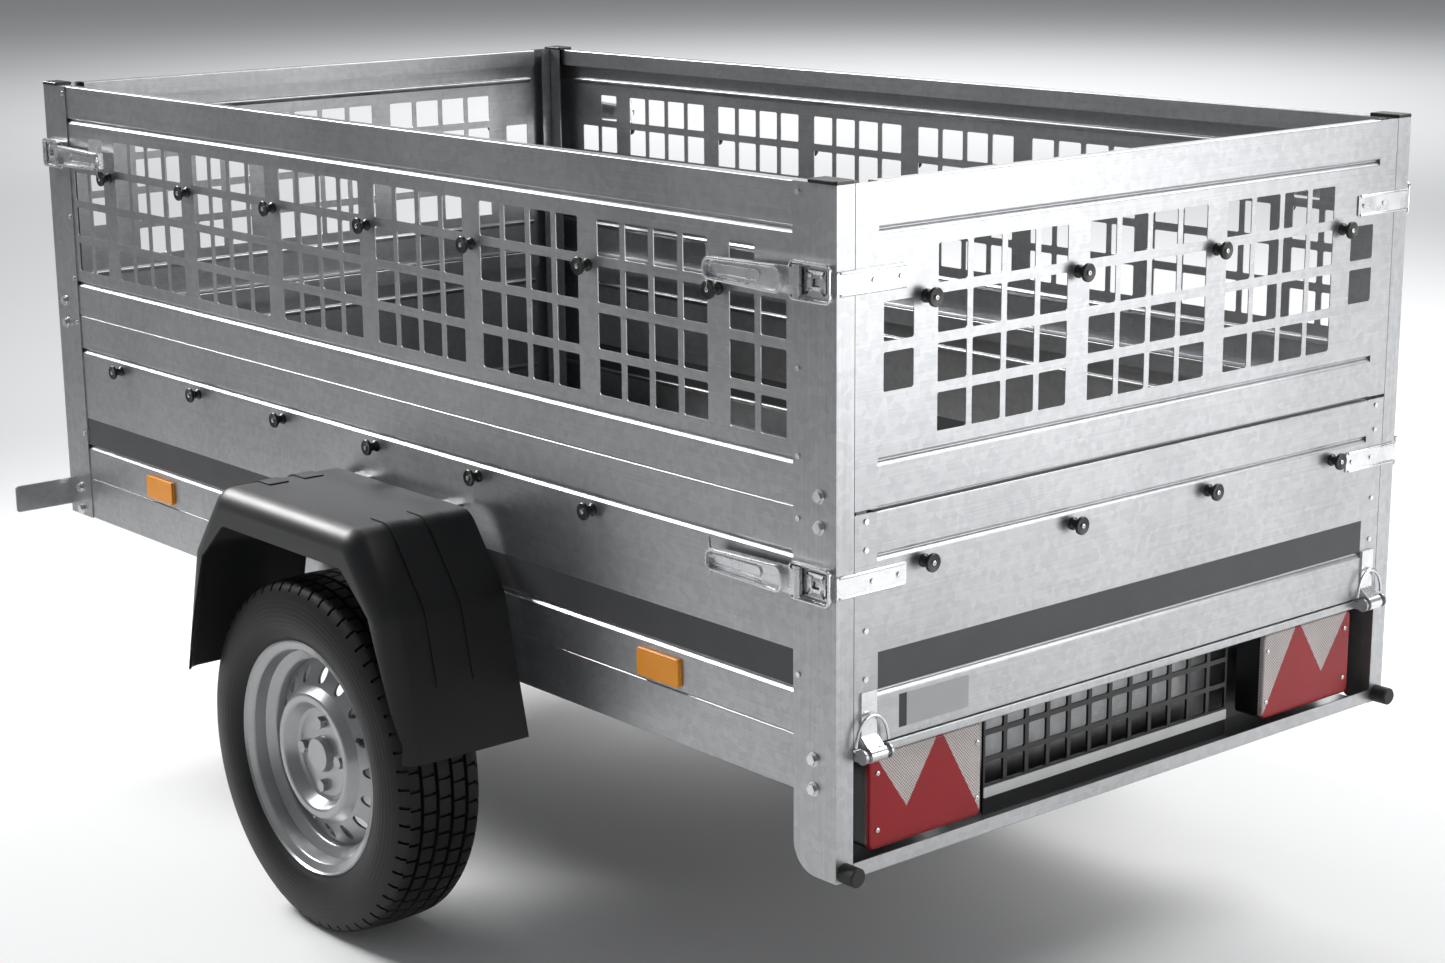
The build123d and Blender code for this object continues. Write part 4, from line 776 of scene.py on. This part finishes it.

# %% [markdown]
# ## Valve stems
# A black rubber valve leans out of each rim. It is a cylinder whose end face is inset, drawn
# out and inset again, so that it narrows towards its cap.

# %% Valve stems
valve_lean = math.radians(62)
valve_turn = math.radians(160)
valve_distance = 0.139
valve_sunk = 0.034
for side, out in (("left", 1), ("right", -1)):
    low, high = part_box("rim_" + side)
    axle = (low + high) / 2
    outer = high.y if out > 0 else low.y
    clear_selection()
    bpy.ops.mesh.primitive_cylinder_add(vertices=20, radius=0.0052, depth=0.034)
    stem = bpy.context.object
    bpy.ops.object.mode_set(mode="EDIT")
    faces_where(stem, lambda centre, normal: normal.z > 0.9)
    bpy.ops.mesh.inset(thickness=0.0012)
    bpy.ops.mesh.extrude_region_move(TRANSFORM_OT_translate={"value": (0, 0, 0.009)})
    bpy.ops.mesh.inset(thickness=0.0008)
    bpy.ops.object.mode_set(mode="OBJECT")
    stem.rotation_euler = (-out * valve_lean, 0, 0)
    stem.location = (
        axle.x + valve_distance * math.cos(valve_turn),
        outer - out * valve_sunk,
        (tyre_low.z + tyre_high.z) / 2 + valve_distance * math.sin(valve_turn),
    )
    settle(stem, "valve_stem_" + side, "wheel_" + side, smooth_plastic)

# %% [markdown]
# ## Floor, light and camera
# A pale floor, soft panels and a dim surrounding give the light of a product studio. The rear
# mirrors a bright panel low down, the left side mirrors the shaded floor, and two panels high up
# stand where the sloping faces of the pressed grooves mirror them, which draws each groove as a
# thin bright line. A large panel far off lights the floor behind the trailer. A narrower spread
# keeps a panel's light off what should stay dark. The Standard view transform keeps the contrast
# of bare metal and the depth of the reds, which a filmic one would wash out.

# %% Floor
clear_selection()
bpy.ops.mesh.primitive_plane_add(size=60, location=(0, 0, 0))
ground = bpy.context.object
ground.name = "studio_floor"
floor_finish = Finish("studio_floor")
floor_tone = floor_finish.noise(0.4)
floor_finish.set("Base Color", floor_finish.mix(floor_tone, (0.86, 0.86, 0.86), (0.90, 0.90, 0.90)))
floor_finish.set("Roughness", 0.7 + floor_tone * 0.1)
floor_finish.give(ground)


# %% Lights
def panel(name, place, target, width, height, power, spread=180):
    light = bpy.data.lights.new(name, "AREA")
    light.shape = "RECTANGLE"
    light.size = width
    light.size_y = height
    light.energy = power
    light.spread = math.radians(spread)
    lamp = bpy.data.objects.new(name, light)
    bpy.context.scene.collection.objects.link(lamp)
    lamp.location = place
    lamp.rotation_euler = (Vector(target) - Vector(place)).to_track_quat("-Z", "Y").to_euler()
    lamp.visible_camera = False
    return lamp


panels = [
    panel("right_panel", (1.6, -4.6, 4.6), (1.0, -1.8, 0.0), 6.0, 4.0, 165, 130),
    panel("far_panel", (8.5, -9.0, 6.5), (9.0, -8.5, 0.0), 8.0, 8.0, 430, 140),
    panel("rear_panel", (rear_face - 3.8, -2.8, 1.0), (rear_face, 0.0, 0.6), 2.6, 1.8, 66),
    panel("groove_panel_rear", (rear_face - 1.2, -2.7, 4.2), (rear_face, 0.0, 0.7), 2.4, 1.2, 105),
    panel("groove_panel_side", (4.0, 1.5, 4.0), (0.0, 0.4, 0.8), 3.0, 1.4, 62, 60),
]
print("panels", [lamp.name for lamp in panels])

world = bpy.data.worlds.new("studio")
bpy.context.scene.world = world
world.use_nodes = True
surround = world.node_tree.nodes["Background"]
surround.inputs["Color"].default_value = (0.93, 0.96, 1.0, 1.0)
surround.inputs["Strength"].default_value = 0.22
bpy.context.scene.view_settings.view_transform = "Standard"

# %% Camera
camera_data = bpy.data.cameras.new("camera")
camera = bpy.data.objects.new("camera", camera_data)
bpy.context.scene.collection.objects.link(camera)
camera.location = (rear_face - 2.3143, 2.7209, 1.5974)
camera_roll = -0.71
looking = Vector((0.7498, -0.6171, -0.2388))
camera.rotation_euler = looking.to_track_quat("-Z", "Y").to_euler()
camera.rotation_euler.rotate_axis("Z", math.radians(camera_roll))
camera_data.sensor_width = 36.0
camera_data.lens = 65.78
camera_data.shift_x = 0.0273
camera_data.shift_y = 0.0120
bpy.context.scene.camera = camera
print("camera", tuple(camera.location), "lens", camera_data.lens)
